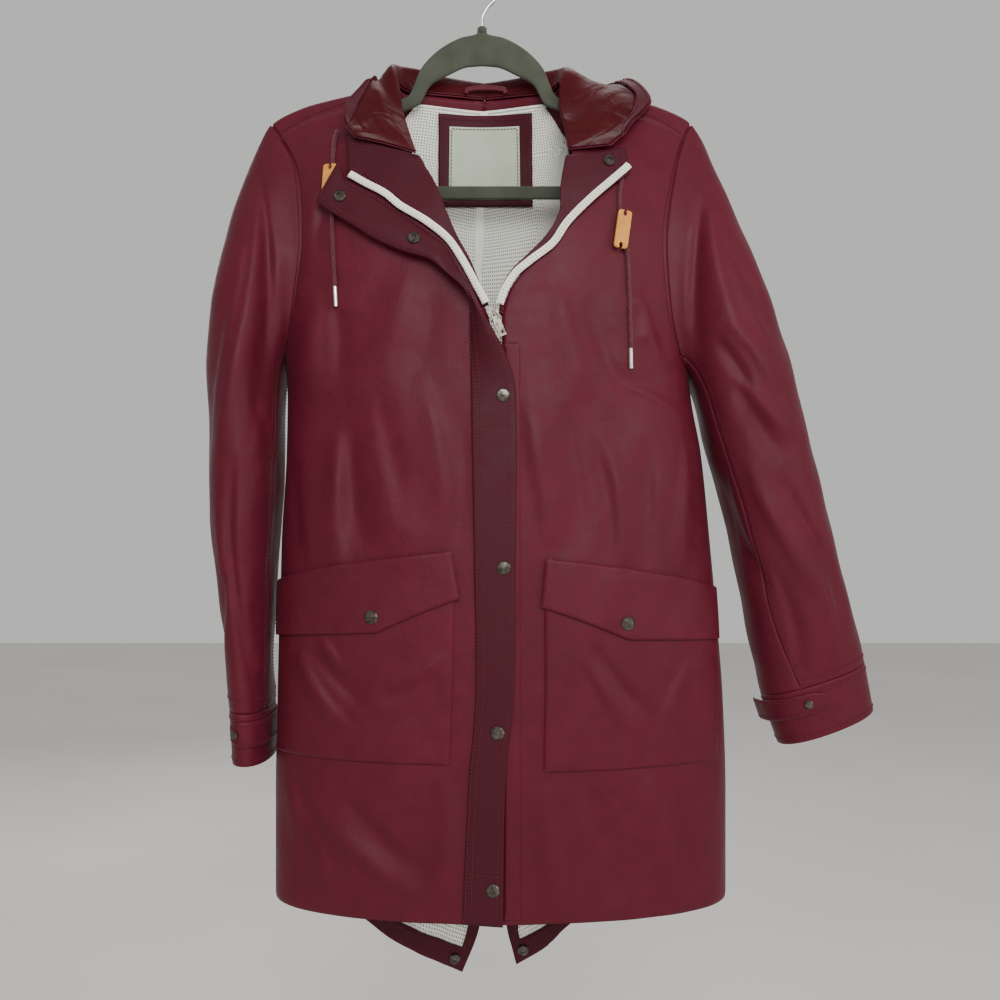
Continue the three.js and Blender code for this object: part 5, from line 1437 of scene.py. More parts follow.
def warp_knit_mesh(name, light, dark, pitch=0.0036):
    # Open warp-knit polyester lining: pale yarn round rows of small holes, 3.6 mm apart.
    made = Finish(name)
    cells = made.vector("MULTIPLY", made.flat, (1 / pitch, 1 / pitch, 0)).outputs[0]
    within = made.vector("FRACTION", cells).outputs[0]
    centred = made.vector("SUBTRACT", within, (0.5, 0.5, 0)).outputs[0]
    far = made.vector("LENGTH", centred).outputs["Value"]
    hole = made.ramp(far, 1, 0, 0.2, 0.34)
    fine, drift = made.noise(900), made.noise(25)
    colour = made.blend(made.blend(light, shade(light, 0.84), drift), dark, hole)
    sunk = made.bump(hole, 0.8, 0.0005, invert=True)
    knit = made.bump(fine, 0.4, 0.0002, over=sunk)
    return made.end(colour, made.ramp(fine, 0.75, 0.9), knit, IOR=1.5, Sheen_Weight=0.15)


def plain_stock(
    name, light, dark, roughness, metallic=0.0, scale=60, bump=0.0001, grain=400, sheen=0.0, ior=1.5
):
    """A solid material that varies a little in colour and gloss, with a fine grain."""
    made = Finish(name)
    drift, fine = made.noise(scale, detail=5), made.noise(grain, detail=3)
    return made.end(
        made.blend(light, dark, made.ramp(drift, 0, 1, 0.35, 0.65)),
        made.ramp(drift, max(0.03, roughness * 0.8), min(1, roughness * 1.2)),
        made.bump(fine, 0.6, bump),
        Metallic=metallic, Sheen_Weight=sheen, Specular_IOR_Level=0.5 if metallic else 0.3,
        **({} if metallic else {"IOR": ior}),
    )


COLOURS = {
    "shell_light": "#5C1526",
    "shell_dark": "#4C0F1E",
    # The facings' own colour, also painted on the placket as its shade.
    "facing": "#450E1B",
    "satin": "#4B0C13",
    "mesh": "#FFFFF2",
    "zip": "#FFF8E4",
    "hanger": "#474B3F",
    "leather": "#D8933F",
    "label": "#C3CCB5",
    "cord": "#541526",
}

# Plain stocks: the colour's name or its value, the shares of it that are light and dark, or the dark
# value, the roughness and what else the stock has.
STOCKS = {
    # Bleached twill tape: matt and slightly furry.
    "cotton_tape": ("mesh", 1, 0.85, 0.85, {"bump": 0.0002, "grain": 900, "sheen": 0.2}),
    # Injection-moulded acetal teeth: smooth, waxy, cream.
    "moulded_acetal": ("zip", 1, 0.88, 0.34, {"scale": 30, "bump": 0.00003, "ior": 1.48}),
    # Plated zinc, tumbled dark and buffed back: bright on the high places.
    "antique_nickel": (
        "#6E6860", 1, "#423D38", 0.3, {"metallic": 1.0, "scale": 260, "bump": 0.00004, "grain": 700}
    ),
    # Bright chromed steel wire: mirror gloss with faint drawing marks.
    "chromed_steel": ("#D5D7D9", 1, "#B9BCBE", 0.13, {"metallic": 1.0, "scale": 200, "bump": 0.00002}),
    # Crimped steel cord ends: pale and satin.
    "brushed_steel": ("#EDEAE6", 1, "#CFCBC6", 0.3, {"metallic": 1.0, "scale": 300, "bump": 0.00003}),
    # ABS sprayed with short nylon flock: dead matt with a velvet edge. Fibres of 0.4 mm show as 1 mm grain.
    "flocked_abs": ("hanger", 1, 0.8, 0.95, {"scale": 45, "bump": 0.0004, "grain": 1000, "sheen": 0.12}),
    # Vegetable-tanned cow leather: smooth, waxed, a little mottled.
    "tanned_leather": ("leather", 1, 0.8, 0.5, {"scale": 120, "bump": 0.00018, "grain": 500}),
    # Braided polyester cord: its strands are modelled, the yarn is grain.
    "braided_polyester": (
        "cord", 1.15, 0.8, 0.68, {"scale": 200, "bump": 0.0002, "grain": 900, "sheen": 0.2}
    ),
    # Woven damask label: matt, with fine ribs.
    "woven_label": ("label", 1, 0.9, 0.82, {"scale": 40, "bump": 0.0002, "grain": 1100, "sheen": 0.1}),
    # Core-spun polyester thread: a shade lighter than the cloth, with a slight gleam.
    "polyester_thread": ("shell_light", 1.1, 0.85, 0.5, {"scale": 300, "bump": 0.00005}),
    # Matt emulsion on the studio's floor.
    "studio_paint": ("#DAD8D4", 1, "#D4D2CE", 0.9, {"scale": 2, "bump": 0.00001, "grain": 80}),
}


def finish_for(name):
    """The finish of that name, made the first time it is asked for."""
    made = bpy.data.materials.get(name)
    if made:
        return made
    paint = bpy.context.scene.raincoat_colours
    if name == "coated_polyester":
        return coated_polyester(name, paint.shell_light, paint.shell_dark, 0.5)
    if name == "coated_facing":
        return coated_polyester(name, paint.facing, shade(paint.facing, 0.8), 0.52, crumple=0.0006)
    if name == "polyester_satin":
        return satin_lining(name, paint.satin, shade(paint.satin, 0.5))
    if name == "warp_knit_mesh":
        return warp_knit_mesh(name, paint.mesh, shade(paint.mesh, 0.3))
    colour, light, dark, roughness, rest = STOCKS[name]
    base = linear(colour) if colour.startswith("#") else getattr(paint, colour)
    deep = linear(dark) if isinstance(dark, str) else shade(base, dark)
    return plain_stock(name, shade(base, light), deep, roughness, **rest)


# Sizes and colours that a user may change.
def distance(name, description, default):
    return bpy.props.FloatProperty(
        name=name, description=description, default=default, subtype="DISTANCE", unit="LENGTH"
    )


def colour_setting(name, description, key):
    return bpy.props.FloatVectorProperty(
        name=name, description=description, default=linear(COLOURS[key]), size=3, min=0, max=1,
        subtype="COLOR",
    )


class RaincoatSizes(bpy.types.PropertyGroup):
    """Sizes of the raincoat's small parts."""

    crease_share: bpy.props.FloatProperty(
        name="Crease depth", description="Share of the drawn depth of the cloth's creases", default=1.0,
        min=0, max=1.5, subtype="FACTOR",
    )
    tooth_pitch: distance("Tooth pitch", "Distance between the zip's teeth", 0.0033)
    cord_diameter: distance("Drawcord diameter", "Diameter of the braided drawcords", CORD_WIDTH * UNIT)
    floor_drop: distance("Floor below the hook", "How far the studio floor is below the hook", 1.35)


class RaincoatColours(bpy.types.PropertyGroup):
    """Colours of the raincoat's cloths and fittings."""

    shell_light: colour_setting("Cloth, lit", "Lighter colour of the coated cloth", "shell_light")
    shell_dark: colour_setting("Cloth, deep", "Darker colour of the coated cloth", "shell_dark")
    # The facings' colour also paints the placket's shade.
    facing: colour_setting("Facing", "Colour of the facings, placket and label's patch", "facing")
    satin: colour_setting("Hood lining", "Colour of the hood's satin lining", "satin")
    mesh: colour_setting("Mesh lining", "Colour of the mesh lining's yarn", "mesh")
    zip: colour_setting("Zip", "Colour of the zip's teeth and tape", "zip")
    hanger: colour_setting("Hanger", "Colour of the flocked hanger", "hanger")
    leather: colour_setting("Toggles", "Colour of the leather toggles", "leather")
    label: colour_setting("Label", "Colour of the bare woven label", "label")
    cord: colour_setting("Drawcord", "Colour of the drawcords", "cord")


# The steps that make the raincoat.
CAMERA = {"place": (0.0183, -1.105, -0.543), "view": 49.6, "sensor": 36}
FLOOR_HALF = 5
AIR = {"colour": (1.0, 0.99, 0.975, 1.0), "strength": 0.6}
LIGHTS = (
    ("key", (0.25, -2.1, 0.3), (0.0, 0, -0.5), 1.1, 38),
    ("fill", (1.6, -1.2, -0.1), (0, 0, -0.6), 1.2, 11),
    ("top", (0.2, 0.5, 1.2), (0, 0.0, -0.5), 0.9, 8),
    ("rear", (-0.8, 1.9, 0.4), (0, 0, -0.6), 1.2, 16),
)
FLAP_POINT = {-1: 0.57, 1: 0.5}
THREAD_REST = 0.15
HOOD_FACING_GAP = 1.6
TAIL_FACING_GAP = 1.1
HOOD_MIDDLE_X = 2.1
SEAM_TAPE = {"top": -136, "end": -850, "half": 4.6, "thick": 0.5}
CORD_STRAND = {"turns": 3, "pitch": 0.42, "relief": 0.11}
ROLL_RADIUS = 1.5
HANGER_THICKNESS = {"half": 2.95, "power": 0.4}
DARTS = ((-181, -457, -96, -430), (128, -434, 201, -457))
# Shape of a tooth: how wide it is at each share of its height, and the corners of its outline.
TOOTH_LAYERS = ((0, 0.86), (0.35, 1), (0.75, 0.96), (1, 0.7))
TOOTH_SHARE = 0.3
TOOTH_OUTLINE = ((-1, -0.8), (-0.8, -1), (0.8, -1), (1, -0.8), (1, 0.8), (0.8, 1), (-0.8, 1), (-1, 0.8))
# Finish and width of the rounded edges, in mm, of the fittings that stay as solids.
FITTINGS = {
    "snap_": ("antique_nickel", 0.35),
    "zip_slider": ("antique_nickel", 0.35),
    "zip_pull_tab": ("antique_nickel", 0.35),
    "toggle_": ("tanned_leather", 0.7),
    "cord_tip_": ("brushed_steel", 0.5),
}


class Step:
    """A step of the build, which its make method takes."""

    def execute(self, context):
        self.make(context)
        return {"FINISHED"}


class RAINCOAT_OT_studio(Step, bpy.types.Operator):
    """Sets the camera, the pale floor and the soft lights"""

    bl_idname = "raincoat.studio"
    bl_label = "Studio"

    def make(self, context):
        scene = context.scene
        data = bpy.data.cameras.new("camera")
        data.sensor_width = CAMERA["sensor"]
        data.lens = CAMERA["sensor"] / 2 / np.tan(np.radians(CAMERA["view"] / 2))
        scene.camera = put("camera", data)
        scene.camera.location = CAMERA["place"]
        scene.camera.rotation_euler = (HALF_PI, 0, 0)

        corners = ((-1, -1), (1, -1), (1, 1), (-1, 1))
        points = [(x * FLOOR_HALF, y * FLOOR_HALF, -scene.raincoat_sizes.floor_drop) for x, y in corners]
        mesh = bpy.data.meshes.new("studio_floor")
        mesh.from_pydata(points, [], [(0, 1, 2, 3)])
        mesh.materials.append(finish_for("studio_paint"))
        put("studio_floor", mesh)

        for name, place, aim, size, power in LIGHTS:
            light = bpy.data.lights.new(name, "AREA")
            light.size, light.energy = size, power
            lamp = put(name, light)
            lamp.location = place
            way = np.array(aim) - np.array(place)
            flat = np.hypot(way[0], way[1])
            lamp.rotation_euler = (np.arctan2(flat, -way[2]), 0, np.arctan2(-way[0], way[1]))
        scene.world = bpy.data.worlds.new("studio_air")
        scene.world.use_nodes = True
        background = scene.world.node_tree.nodes["Background"]
        background.inputs[0].default_value = AIR["colour"]
        background.inputs[1].default_value = AIR["strength"]


class RAINCOAT_OT_drawcords(Step, bpy.types.Operator):
    """Braids the two drawcords along their solids"""

    bl_idname = "raincoat.drawcords"
    bl_label = "Drawcords"

    def make(self, context):
        width = context.scene.raincoat_sizes.cord_diameter / UNIT

        def strands(angle, ring):
            turn, run = CORD_STRAND["turns"] * angle, ring * CORD_STRAND["pitch"]
            return 1 + CORD_STRAND["relief"] * np.maximum(np.sin(turn + run), np.sin(turn - run))

        for name, rows in (("right", CORD_RIGHT), ("left", CORD_LEFT)):
            line = even_steps(line_place(rows, np.linspace(0, 1, 360)), 0.5)
            braid = tube_mesh(line, width / 2 * 0.95, 18, strands)
            cord = add_piece(f"cord_{name}", *braid, finish_for("braided_polyester"), "cord")
            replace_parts(cord, f"drawcord_{name}")


class RAINCOAT_OT_body(Step, bpy.types.Operator):
    """Hangs the two fronts and the two back panels"""

    bl_idname = "raincoat.body"
    bl_label = "Fronts and back"

    def make(self, context):
        across = np.unique(np.concatenate([np.linspace(0, 0.06, 5), np.linspace(0.06, 1, 86)]))
        for side, name in SIDES_OF_COAT:
            for label, find_edges, push in (
                ("front", front_edges, push_front), ("back", back_edges, push_back),
            ):
                point = partial(panel_point, find_edges(side))
                cloth(f"{label}_{name}", point, across, 239, CLOTH, -side, "shell", push=push)


class RAINCOAT_OT_sleeves(Step, bpy.types.Operator):
    """Hangs the upper and under sleeves, their cuffs and the cuffs' tabs"""

    bl_idname = "raincoat.sleeves"
    bl_label = "Sleeves and cuffs"

    def make(self, context):
        down = np.concatenate([np.linspace(0, 0.02, 7)[:-1], np.linspace(0.02, 1, 180)])
        for side, name in SIDES_OF_COAT:
            seams, tab = SLEEVE_SEAMS[side], CUFF_TABS[side]

            def panel(first, last, turn, u, v):
                s = mix(*SLEEVE_ROWS, v)
                start = look_up(seams, "s", first, s) - turn + SEAM_DEGREES
                end = look_up(seams, "s", last, s) - SEAM_DEGREES
                return tucked(side, v, sleeve_ring(side, mix(start, end, u), s))

            def cuff(u, v):
                return sleeve_ring(side, u * 360, mix(CUFF_START, SLEEVES[side]["s"][-1], v))

            def tab_point(u, v):
                taper = tab["taper"] * np.maximum(0, 1 - u / 0.12)
                s = mix(tab["top"] + taper, tab["end"] - taper, v)
                degrees = mix(tab["from"], tab["to"], u)
                out = CLOTH + LAYER_GAP + tab["lift"] * np.maximum(0, (u - 0.6) / 0.4) ** 2
                return sleeve_ring(side, degrees, s) + sleeve_normal(side, degrees, s) * out[..., None]

            def push(u, v, points):
                return sleeve_lift(v, points) - 1.5 * smooth((0.02 - v) / 0.012)

            upper, under = partial(panel, "back", "front", 360), partial(panel, "front", "back", 0)
            cloth(f"sleeve_upper_{name}", upper, 130, down, CLOTH, side, "shell", push=push)
            cloth(f"sleeve_under_{name}", under, 36, down, CLOTH, side, "shell", push=push)
            cloth(
                f"cuff_{name}", cuff, 140, 22, CUFF_CLOTH, side, "shell", wrapped=True,
            )
            cloth(
                f"cuff_tab_{name}", tab_point, 80, 10, CLOTH, side, "shell"
            )
            sew(
                f"stitching_sleeve_{name}",
                seams_on(upper, side, push, down_at(0.978), down_at(0.02), across_at(0.978, 0.02, 0.98))
                + seams_on(cuff, side, None, across_at(0.12), across_at(0.9))
                + seams_on(tab_point, side, None, across_at(0.14, 0.03, 0.97), across_at(0.86, 0.03, 0.97)),
            )


class RAINCOAT_OT_pockets(Step, bpy.types.Operator):
    """Sets the patch pockets and their flaps with rolled top edges"""

    bl_idname = "raincoat.pockets"
    bl_label = "Pockets and flaps"

    def make(self, context):
        for name, corners in POCKETS.items():
            side = -1 if name.endswith("right") else 1
            flap = name.startswith("flap")
            out = (CLOTH + LAYER_GAP) * (2 if flap else 1)
            flare = FLAP_FLARE if flap else 0

            def point(u, v):
                return patch_point(corners, u, v, out + flare * v)

            cloth(
                name, point, 84, 26 if flap else 72, CLOTH, -side, "shell", push=push_front,
            )
            if flap:
                tip = (FLAP_POINT[side], 0.87)
                side_run = (0.14, 0.84)
                runs = [
                    across_at(0.14, 0.035, 0.965), down_at(0.035, *side_run), down_at(0.965, *side_run),
                    ((0.035, 0.84), tip), (tip, (0.965, 0.84)),
                ]
                roll, _ = seam_line(point, (0.004, 0.03), (0.996, 0.03), -side, push_front, out=0.5)
                rolled = tube_mesh(roll, ROLL_RADIUS, 12)
                add_piece(f"rolled_edge_{name}", *rolled, finish_for("coated_polyester"), "shell")
            else:
                # Two rows of sewing round the pocket's open sides, each inset from its edges.
                runs = []
                for left, right, low in ((0.024, 0.976, 0.972), (0.05, 0.95, 0.945)):
                    runs += [
                        down_at(left, 0.06, low), across_at(low, left, right), down_at(right, 0.06, low),
                    ]
            sew(f"stitching_{name}", seams_on(point, -side, push_front, *runs))


class RAINCOAT_OT_opening(Step, bpy.types.Operator):
    """Makes the placket, its underlap and the facings of the neck opening"""

    bl_idname = "raincoat.opening"
    bl_label = "Placket and facings"

    def make(self, context):
        def placket_push(u, v, points):
            return slack(points, FACING_SLACK) * smooth(v / 0.05) * 0.6

        def facing_push(u, v, points):
            return slack(points, FACING_SLACK) * smooth(v / 0.1)

        def underlap(u, v):
            x, z = mix(UNDERLAP["inner"], UNDERLAP["outer"], u), mix(UNDERLAP["top"], UNDERLAP["end"], v)
            return front_at(x, z, UNDERLAP["out"])

        # The placket takes the facings' darker colour: painted shade for its set-back strip, which is cut
        # from the shell's cloth.
        cloth(
            "placket", placket_point, 22, 360, PLACKET_CLOTH, 1, "facing", push=placket_push,
        )
        cloth(
            "underlap", underlap, 8, 200, FACING_CLOTH, 1, "shell", push=push_front,
        )
        placket = partial(seams_on, placket_point, 1, placket_push)
        lines = placket(down_at(0.845), down_at(0.05), count=600)
        lines += placket(down_at(0.2, 0.005, 0.68), count=400)
        lines += placket(across_at(0.022, 0.08, 0.9), across_at(0.985, 0.06, 0.84))
        lines += seams_on(underlap, 1, push_front, down_at(0.8))
        # The turned-over end shows its other face, so its sewing shows there too.
        lines += seams_on(
            placket_point, -1, None, down_at(0.845, 0.62, 0.995), down_at(0.05, 0.62, 0.995),
            out=PLACKET_CLOTH + 0.1, count=300,
        )
        for side, name in SIDES_OF_COAT:
            point = partial(facing_point, FACINGS[side])
            cloth(
                f"facing_{name}", point, 26, 130, FACING_CLOTH, -side, "facing", push=facing_push,
            )
            run = (0.01, 0.99)
            lines += seams_on(point, -side, None, down_at(0.1, *run), down_at(0.22, *run), out=0.5)
        sew("stitching_opening", lines)


class RAINCOAT_OT_hood(Step, bpy.types.Operator):
    """Hangs the fallen hood with its satin lining and facing"""

    bl_idname = "raincoat.hood"
    bl_label = "Hood"

    def make(self, context):
        lift = CLOTH + LAYER_GAP
        facing_lift = lift + HOOD_FACING_GAP
        columns = np.linspace(0, 1, 150)
        inset = np.concatenate([[0.01], columns[2:-1], [1.0]])
        lines = []

        def push(u, v, points):
            return hood_lift(u, v)

        for side, name in SIDES_OF_COAT:

            def point(u, v):
                made = hood_point(side, u, v)
                made[..., 0] = mix(made[..., 0], HOOD_MIDDLE_X, smooth((u - 0.965) / 0.035))
                return made

            cloth(f"hood_{name}", point, columns, 110, CLOTH, side, "shell", push=push)
            for label, down, thickness, stuff, depth in (
                ("lining", np.linspace(0.01, 0.8233, 92), LINING_CLOTH, "satin", lift),
                ("facing", np.linspace(0.8433, 0.99, 20), FACING_CLOTH, "facing", facing_lift),
            ):
                cloth(
                    f"hood_{label}_{name}", point, inset, down, thickness, side, stuff, lift=depth,
                    push=push,
                )
            run = (0.02, 0.98)
            lines += seams_on(
                point, side, push, across_at(0.962, *run), across_at(0.86, *run),
                out=-(facing_lift + FACING_CLOTH + THREAD_REST), count=300, way=-1,
            )
            lines += seams_on(
                point, side, push, across_at(0.03, *run), across_at(0.97, *run), down_at(0.985, 0.03, 0.97),
                count=300,
            )
        sew("stitching_hood", lines)


class RAINCOAT_OT_lining(Step, bpy.types.Operator):
    """Lines the back with mesh and adds the tails' facings, seam tape and neck binding"""

    bl_idname = "raincoat.lining"
    bl_label = "Back lining"

    def make(self, context):
        lift = CLOTH + INSIDE_GAP
        facing_lift = lift + LINING_CLOTH + TAIL_FACING_GAP
        start, tail = LINING_START, TAIL_FACING
        lines = []
        for side, name in SIDES_OF_COAT:
            edges = back_edges(side)

            def lining(u, v):
                share = smooth((u - start["from"]) / (start["to"] - start["from"]))
                top = mix(start["shoulder"], start["neck"], share)
                return panel_point(edges, u, mix(top, start["end"], v))

            def edge(run, v):
                share, corner = 1 - v, tail["corner"]
                inner_u, low_v = 1 - tail["width"] * share, 1 - tail["height"] * share
                u = np.where(run < corner, mix(LINING_SIDE, inner_u, run / corner), inner_u)
                high = mix(low_v, tail["vent_top"], (run - corner) / (1 - corner))
                return panel_point(edges, u, np.where(run < corner, low_v, high))

            columns = np.linspace(LINING_SIDE, 1, 76)
            cloth(
                f"back_lining_{name}", lining, columns, 230, LINING_CLOTH, -side, "mesh", lift=lift,
                push=push_back,
            )
            cloth(
                f"tail_facing_{name}", edge, 200, 8, FACING_CLOTH, -side, "facing", lift=facing_lift,
                push=push_back,
            )
            binding, _ = seam_line(
                lining, (0.74, 0.0), (1.0, 0.0), -side, push_back, out=-lift - LINING_CLOTH / 2, count=120
            )
            bound = tube_mesh(binding, ROLL_RADIUS, 12)
            add_piece(f"neck_binding_{name}", *bound, finish_for("cotton_tape"), "mesh")
            lines += seams_on(
                edge, -side, push_back, across_at(0.2, 0.02, 0.59), across_at(0.2, 0.61, 0.97),
                out=-(facing_lift + FACING_CLOTH + THREAD_REST), count=300, way=-1,
            )

        def seam_tape(u, v):
            z = mix(SEAM_TAPE["top"], SEAM_TAPE["end"], v)
            x = look_up(BACK_MIDDLE, "z", "seam", z) + mix(-SEAM_TAPE["half"], SEAM_TAPE["half"], u)
            return body_out(turn_at(x, z), girth_at(x, z, 1), -(lift + LINING_CLOTH + SEAM_TAPE["thick"]))

        cloth(
            "", seam_tape, 6, 200, SEAM_TAPE["thick"], 1, "tape", push=push_back, declared=False,
            name="seam_tape_back",
        )
        sew("stitching_tails", lines)


class RAINCOAT_OT_labels(Step, bpy.types.Operator):
    """Sews in the label's patch, the bare label and the hanging loop"""

    bl_idname = "raincoat.labels"
    bl_label = "Label and loop"

    def make(self, context):
        patch_depth = CLOTH + INSIDE_GAP + LINING_CLOTH + 1.8
        label_depth = patch_depth + LABEL_CLOTH + LAYER_GAP
        lines = []
        for name, box, depth, stuff, near in (
            ("label_patch", PATCH, patch_depth, "facing", 0.05),
            ("label", LABEL, label_depth, "label", 0.03),
        ):

            def point(u, v):
                x, z = mix(box["from"], box["to"], u), mix(box["top"], box["end"], v)
                return body_out(turn_at(x, z), girth_at(x, z, 1), -depth)

            cloth(
                name, point, 50, 44, LABEL_CLOTH, 1, stuff, push=push_back,
            )
            far = 1 - near
            corners = [(near, near), (far, near), (far, far), (near, far), (near, near)]
            runs = zip(corners, corners[1:])
            lines += seams_on(point, 1, push_back, *runs, out=-LABEL_CLOTH - THREAD_REST, way=-1)
        sew("stitching_label", lines)

        width, first, last, end = LOOP["height"], LOOP["from"], LOOP["to"], LOOP["end"]
        arch = [
            (first + width / 2, end), (first + 4, -117.6), (-7, -115.6), (3.5, -115.1), (14, -115.6),
            (last - 4, -117.6), (last - width / 2, end),
        ]
        middle = smooth_line([(x, LOOP["y"] - 1, z) for x, z in arch], 60)
        up = unit(np.cross(unit(np.gradient(middle, axis=0)), np.array([0, 1.0, 0])))

        def loop_point(u, v):
            k = u * (len(middle) - 1)
            low = np.clip(k.astype(int), 0, len(middle) - 2)
            share = (k - low)[..., None]
            rise = ((0.5 - v) * (width - 0.6))[..., None]
            return mix(middle[low], middle[low + 1], share) + mix(up[low], up[low + 1], share) * rise

        loop = cloth("hanger_loop", loop_point, 60, 6, 1.6, 1, "shell", declared=False)


class RAINCOAT_OT_zip(Step, bpy.types.Operator):
    """Sets the zip's tapes and teeth"""

    bl_idname = "raincoat.zip"
    bl_label = "Zip"

    def make(self, context):
        pitch = context.scene.raincoat_sizes.tooth_pitch / UNIT
        block = np.array([(x * g, y * g, z) for z, g in TOOTH_LAYERS for x, y in TOOTH_OUTLINE])
        faces = [
            (8 * r + k, 8 * r + (k + 1) % 8, 8 * r + 8 + (k + 1) % 8, 8 * r + 8 + k)
            for r in range(3) for k in range(8)
        ]
        faces += [range(7, -1, -1), range(24, 32)]
        sunk = -ZIP_THICKNESS * 0.75
        for name, rows in (("right", ZIP_RIGHT), ("left", ZIP_LEFT), ("closed", ZIP_CLOSED)):

            def ribbon(u, v):
                return zip_point(rows, u, v, sunk)

            cloth(
                f"zip_chain_{name}", ribbon, 6, 160, 0.7, -1, "zip_tape", declared=False,
                name=f"zip_tape_{name}",
            )
            shares = np.linspace(0, 1, 500)
            far = far_along(line_place(rows, shares))
            t = np.interp(np.arange(pitch / 2, far[-1] - 0.5, pitch), far, shares)
            x, z = along(rows, "x", t), along(rows, "z", t)
            up = body_normal(turn_at(x, z), girth_at(x, z, -1))
            run = unit(line_place(rows, np.minimum(1, t + 0.01)) - line_place(rows, np.maximum(0, t - 0.01)))
            across = np.cross(run, up)
            if name == "closed":
                reach, shift = 2.1, np.where(np.arange(len(t)) % 2, -1.0, 1.0)
            else:
                reach, shift = 2.5, np.full(len(t), 0.5 if name == "right" else -0.5)
            middle = line_place(rows, t, sunk) + across * shift[:, None]
            points = (
                middle[:, None]
                + across[:, None] * (block[:, :1] * reach)
                + run[:, None] * (block[:, 1:2] * pitch * TOOTH_SHARE)
                + up[:, None] * (block[:, 2:] * ZIP_THICKNESS * 0.75)
            )
            teeth = [[a + 32 * k for a in face] for k in range(len(t)) for face in faces]
            add_piece(f"zip_teeth_{name}", points, teeth, finish_for("moulded_acetal"), "zip", polish=False)


class RAINCOAT_OT_topstitch(Step, bpy.types.Operator):
    """Sews the armholes, hems, shoulders and middle seam"""

    bl_idname = "raincoat.topstitch"
    bl_label = "Topstitching"

    def make(self, context):
        lines = []
        for side, _ in SIDES_OF_COAT:
            front = partial(seams_on, partial(panel_point, front_edges(side)), -side, push_front)
            back = partial(seams_on, partial(panel_point, back_edges(side)), -side, push_back)
            for stitch, hole, hem in ((front, (0.004, 0.295), 0.972), (back, (0.075, 0.315), 0.976)):
                lines += stitch(
                    down_at(0.024, *hole), down_at(0.052, *hole), across_at(hem, 0.01, 0.99), count=300
                )
                if stitch is back:
                    lines += back(down_at(0.985, 0.03, 0.97), down_at(0.965, 0.03, 0.97), count=400)
                    lines += back(across_at(0.012, 0.03, 0.58), count=200)
                elif side > 0:
                    lines += front(down_at(0.955, 0.36, 0.97), count=400)
        for x0, z0, x1, z1 in DARTS:

            def dart(u, v):
                return front_at(mix(x0, x1, u), mix(z0, z1, u) + (0.5 - v) * 20, 0)

            lines += seams_on(dart, 1, push_front, ((0.02, 0.35), (0.98, 0.45)))
        sew("stitching_body", lines)


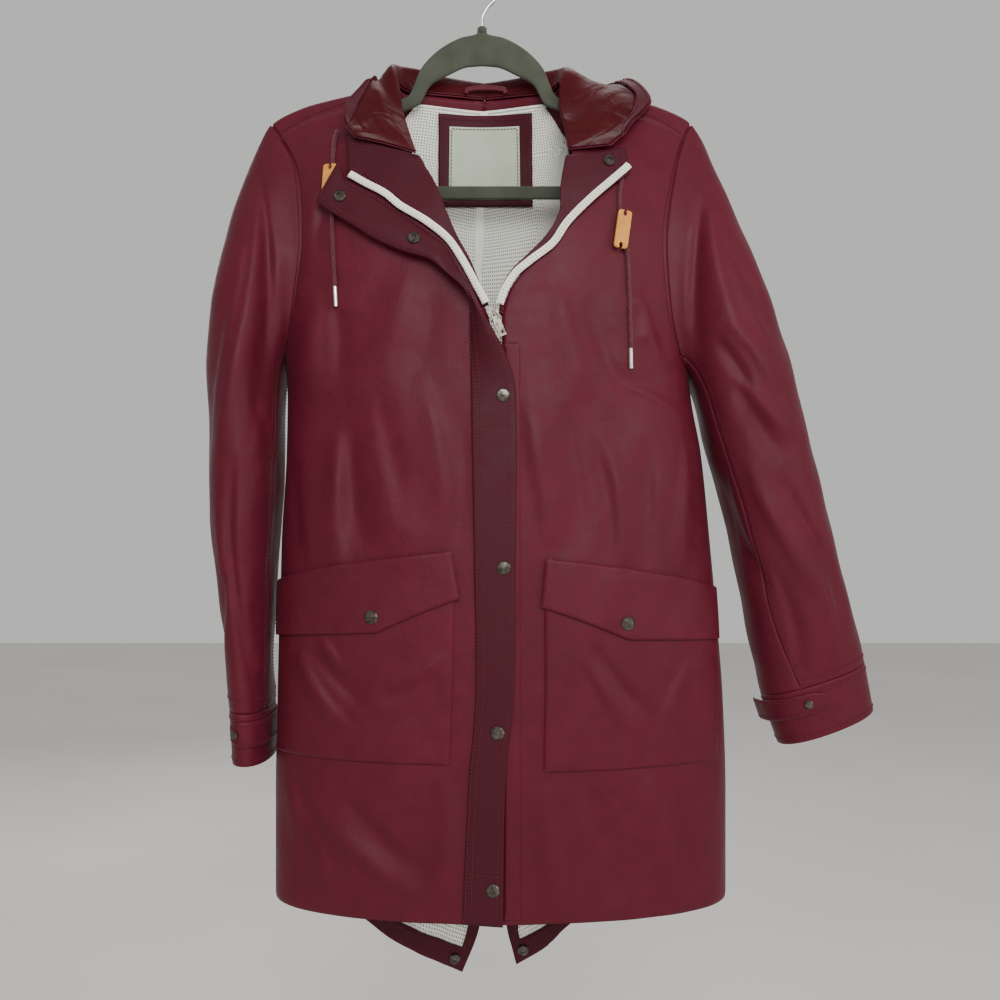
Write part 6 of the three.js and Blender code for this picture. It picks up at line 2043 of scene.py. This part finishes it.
class RAINCOAT_OT_fittings(Step, bpy.types.Operator):
    """Bends the hook's wire and finishes the hanger, snaps, slider, toggles and tips"""

    bl_idname = "raincoat.fittings"
    bl_label = "Hanger and fittings"

    def make(self, context):
        radius = HOOK_INSIDE_RADIUS + HOOK_WIRE / 2
        bend = [
            (radius * np.cos(np.radians(a)), 0, radius * np.sin(np.radians(a)) - HOOK_INSIDE_RADIUS)
            for a in HOOK_BEND
        ]
        stem = [(x, 0, z) for x, z in zip(HOOK_STEM["x"], HOOK_STEM["z"])]
        line = smooth_line(stem + bend + [(HOOK_END[0], 0, HOOK_END[1])], 150)
        size = np.full(len(line), HOOK_WIRE / 2)
        size[-3:] = HOOK_WIRE / 2 * np.array([0.92, 0.7, 0.35])
        hook = add_piece("hook_wire", *tube_mesh(line, size, 20), finish_for("chromed_steel"), "hook")
        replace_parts(hook, "hanger_hook")

        # The hanger: a flat plank with rounded edges that follows the solid's outline in smooth curves.
        halves = []
        for rows, top, end in ((HANGER_OUTSIDE, (0, -61), (0, -236)), (HANGER_INSIDE, (0, -100), (0, -223))):
            corners = [top, *zip(rows["x"], rows["z"]), end]
            halves.append(smooth_line([(x, 0, z) for x, z in corners], 240))
        outer, inner = (np.concatenate([half, half[-2:0:-1] * (-1, 1, 1)]) for half in halves)
        sides = 20
        angles = np.linspace(0, 2 * np.pi, sides, endpoint=False)
        power = HANGER_THICKNESS["power"]
        share = 0.5 - 0.5 * powered(np.cos(angles), power)
        depth = HANGER_THICKNESS["half"] * powered(np.sin(angles), power)
        ring = outer[:, None] + (inner - outer)[:, None] * share[None, :, None]
        ring = ring + np.array([0, 1.0, 0]) * depth[None, :, None]
        index = np.arange(ring.shape[0] * sides).reshape(-1, sides)
        ahead, beside = np.roll(index, -1, axis=0), np.roll(index, -1, axis=1)
        faces = np.stack([index, beside, np.roll(ahead, -1, axis=1), ahead], axis=-1).reshape(-1, 4)
        flock = finish_for("flocked_abs")
        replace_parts(add_piece("hanger_plank", ring, faces, flock, "hanger"), "hanger_body")
        collar = np.array([(0, 0, -60.4), (0, 0, -61.6), (0, 0, -65.5), (0, 0, -66.8)])
        add_piece("hook_collar", *tube_mesh(collar, [3.4, 4.3, 4.3, 3.6], 24), flock, "hanger")

        for node in [made for made in bpy.data.objects if "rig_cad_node" in made]:
            for start, (finish, width) in FITTINGS.items():
                if not node["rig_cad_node"].startswith(start):
                    continue
                node.data.materials.clear()
                node.data.materials.append(finish_for(finish))
                bevel = node.modifiers.new("rounded", "BEVEL")
                bevel.width, bevel.segments = width * UNIT, 3
                bevel.limit_method, bevel.angle_limit = "ANGLE", np.radians(28)


STEPS = (
    RAINCOAT_OT_studio, RAINCOAT_OT_drawcords, RAINCOAT_OT_body, RAINCOAT_OT_sleeves, RAINCOAT_OT_pockets,
    RAINCOAT_OT_opening, RAINCOAT_OT_hood, RAINCOAT_OT_lining, RAINCOAT_OT_labels, RAINCOAT_OT_zip,
    RAINCOAT_OT_topstitch, RAINCOAT_OT_fittings,
)


class RAINCOAT_PT_panel(bpy.types.Panel):
    """Lists the raincoat's settings and the steps that make it"""

    bl_label = "Raincoat"
    bl_idname = "RAINCOAT_PT_panel"
    bl_space_type = "VIEW_3D"
    bl_region_type = "UI"
    bl_category = "Raincoat"

    def draw(self, context):
        for group in (context.scene.raincoat_sizes, context.scene.raincoat_colours):
            for name in group.bl_rna.properties.keys():
                if name not in ("rna_type", "name"):
                    self.layout.prop(group, name)
        for step in STEPS:
            self.layout.operator(step.bl_idname)


CLASSES = (RaincoatSizes, RaincoatColours, *STEPS, RAINCOAT_PT_panel)


def register():
    for made in CLASSES:
        bpy.utils.register_class(made)
    bpy.types.Scene.raincoat_sizes = bpy.props.PointerProperty(type=RaincoatSizes)
    bpy.types.Scene.raincoat_colours = bpy.props.PointerProperty(type=RaincoatColours)


def unregister():
    del bpy.types.Scene.raincoat_colours
    del bpy.types.Scene.raincoat_sizes
    for made in reversed(CLASSES):
        bpy.utils.unregister_class(made)


def main():
    register()
    CREASE_DEPTH["share"] = bpy.context.scene.raincoat_sizes.crease_share
    for step in STEPS:
        group, name = step.bl_idname.split(".")
        getattr(getattr(bpy.ops, group), name)()


if __name__ == "__main__":
    main()
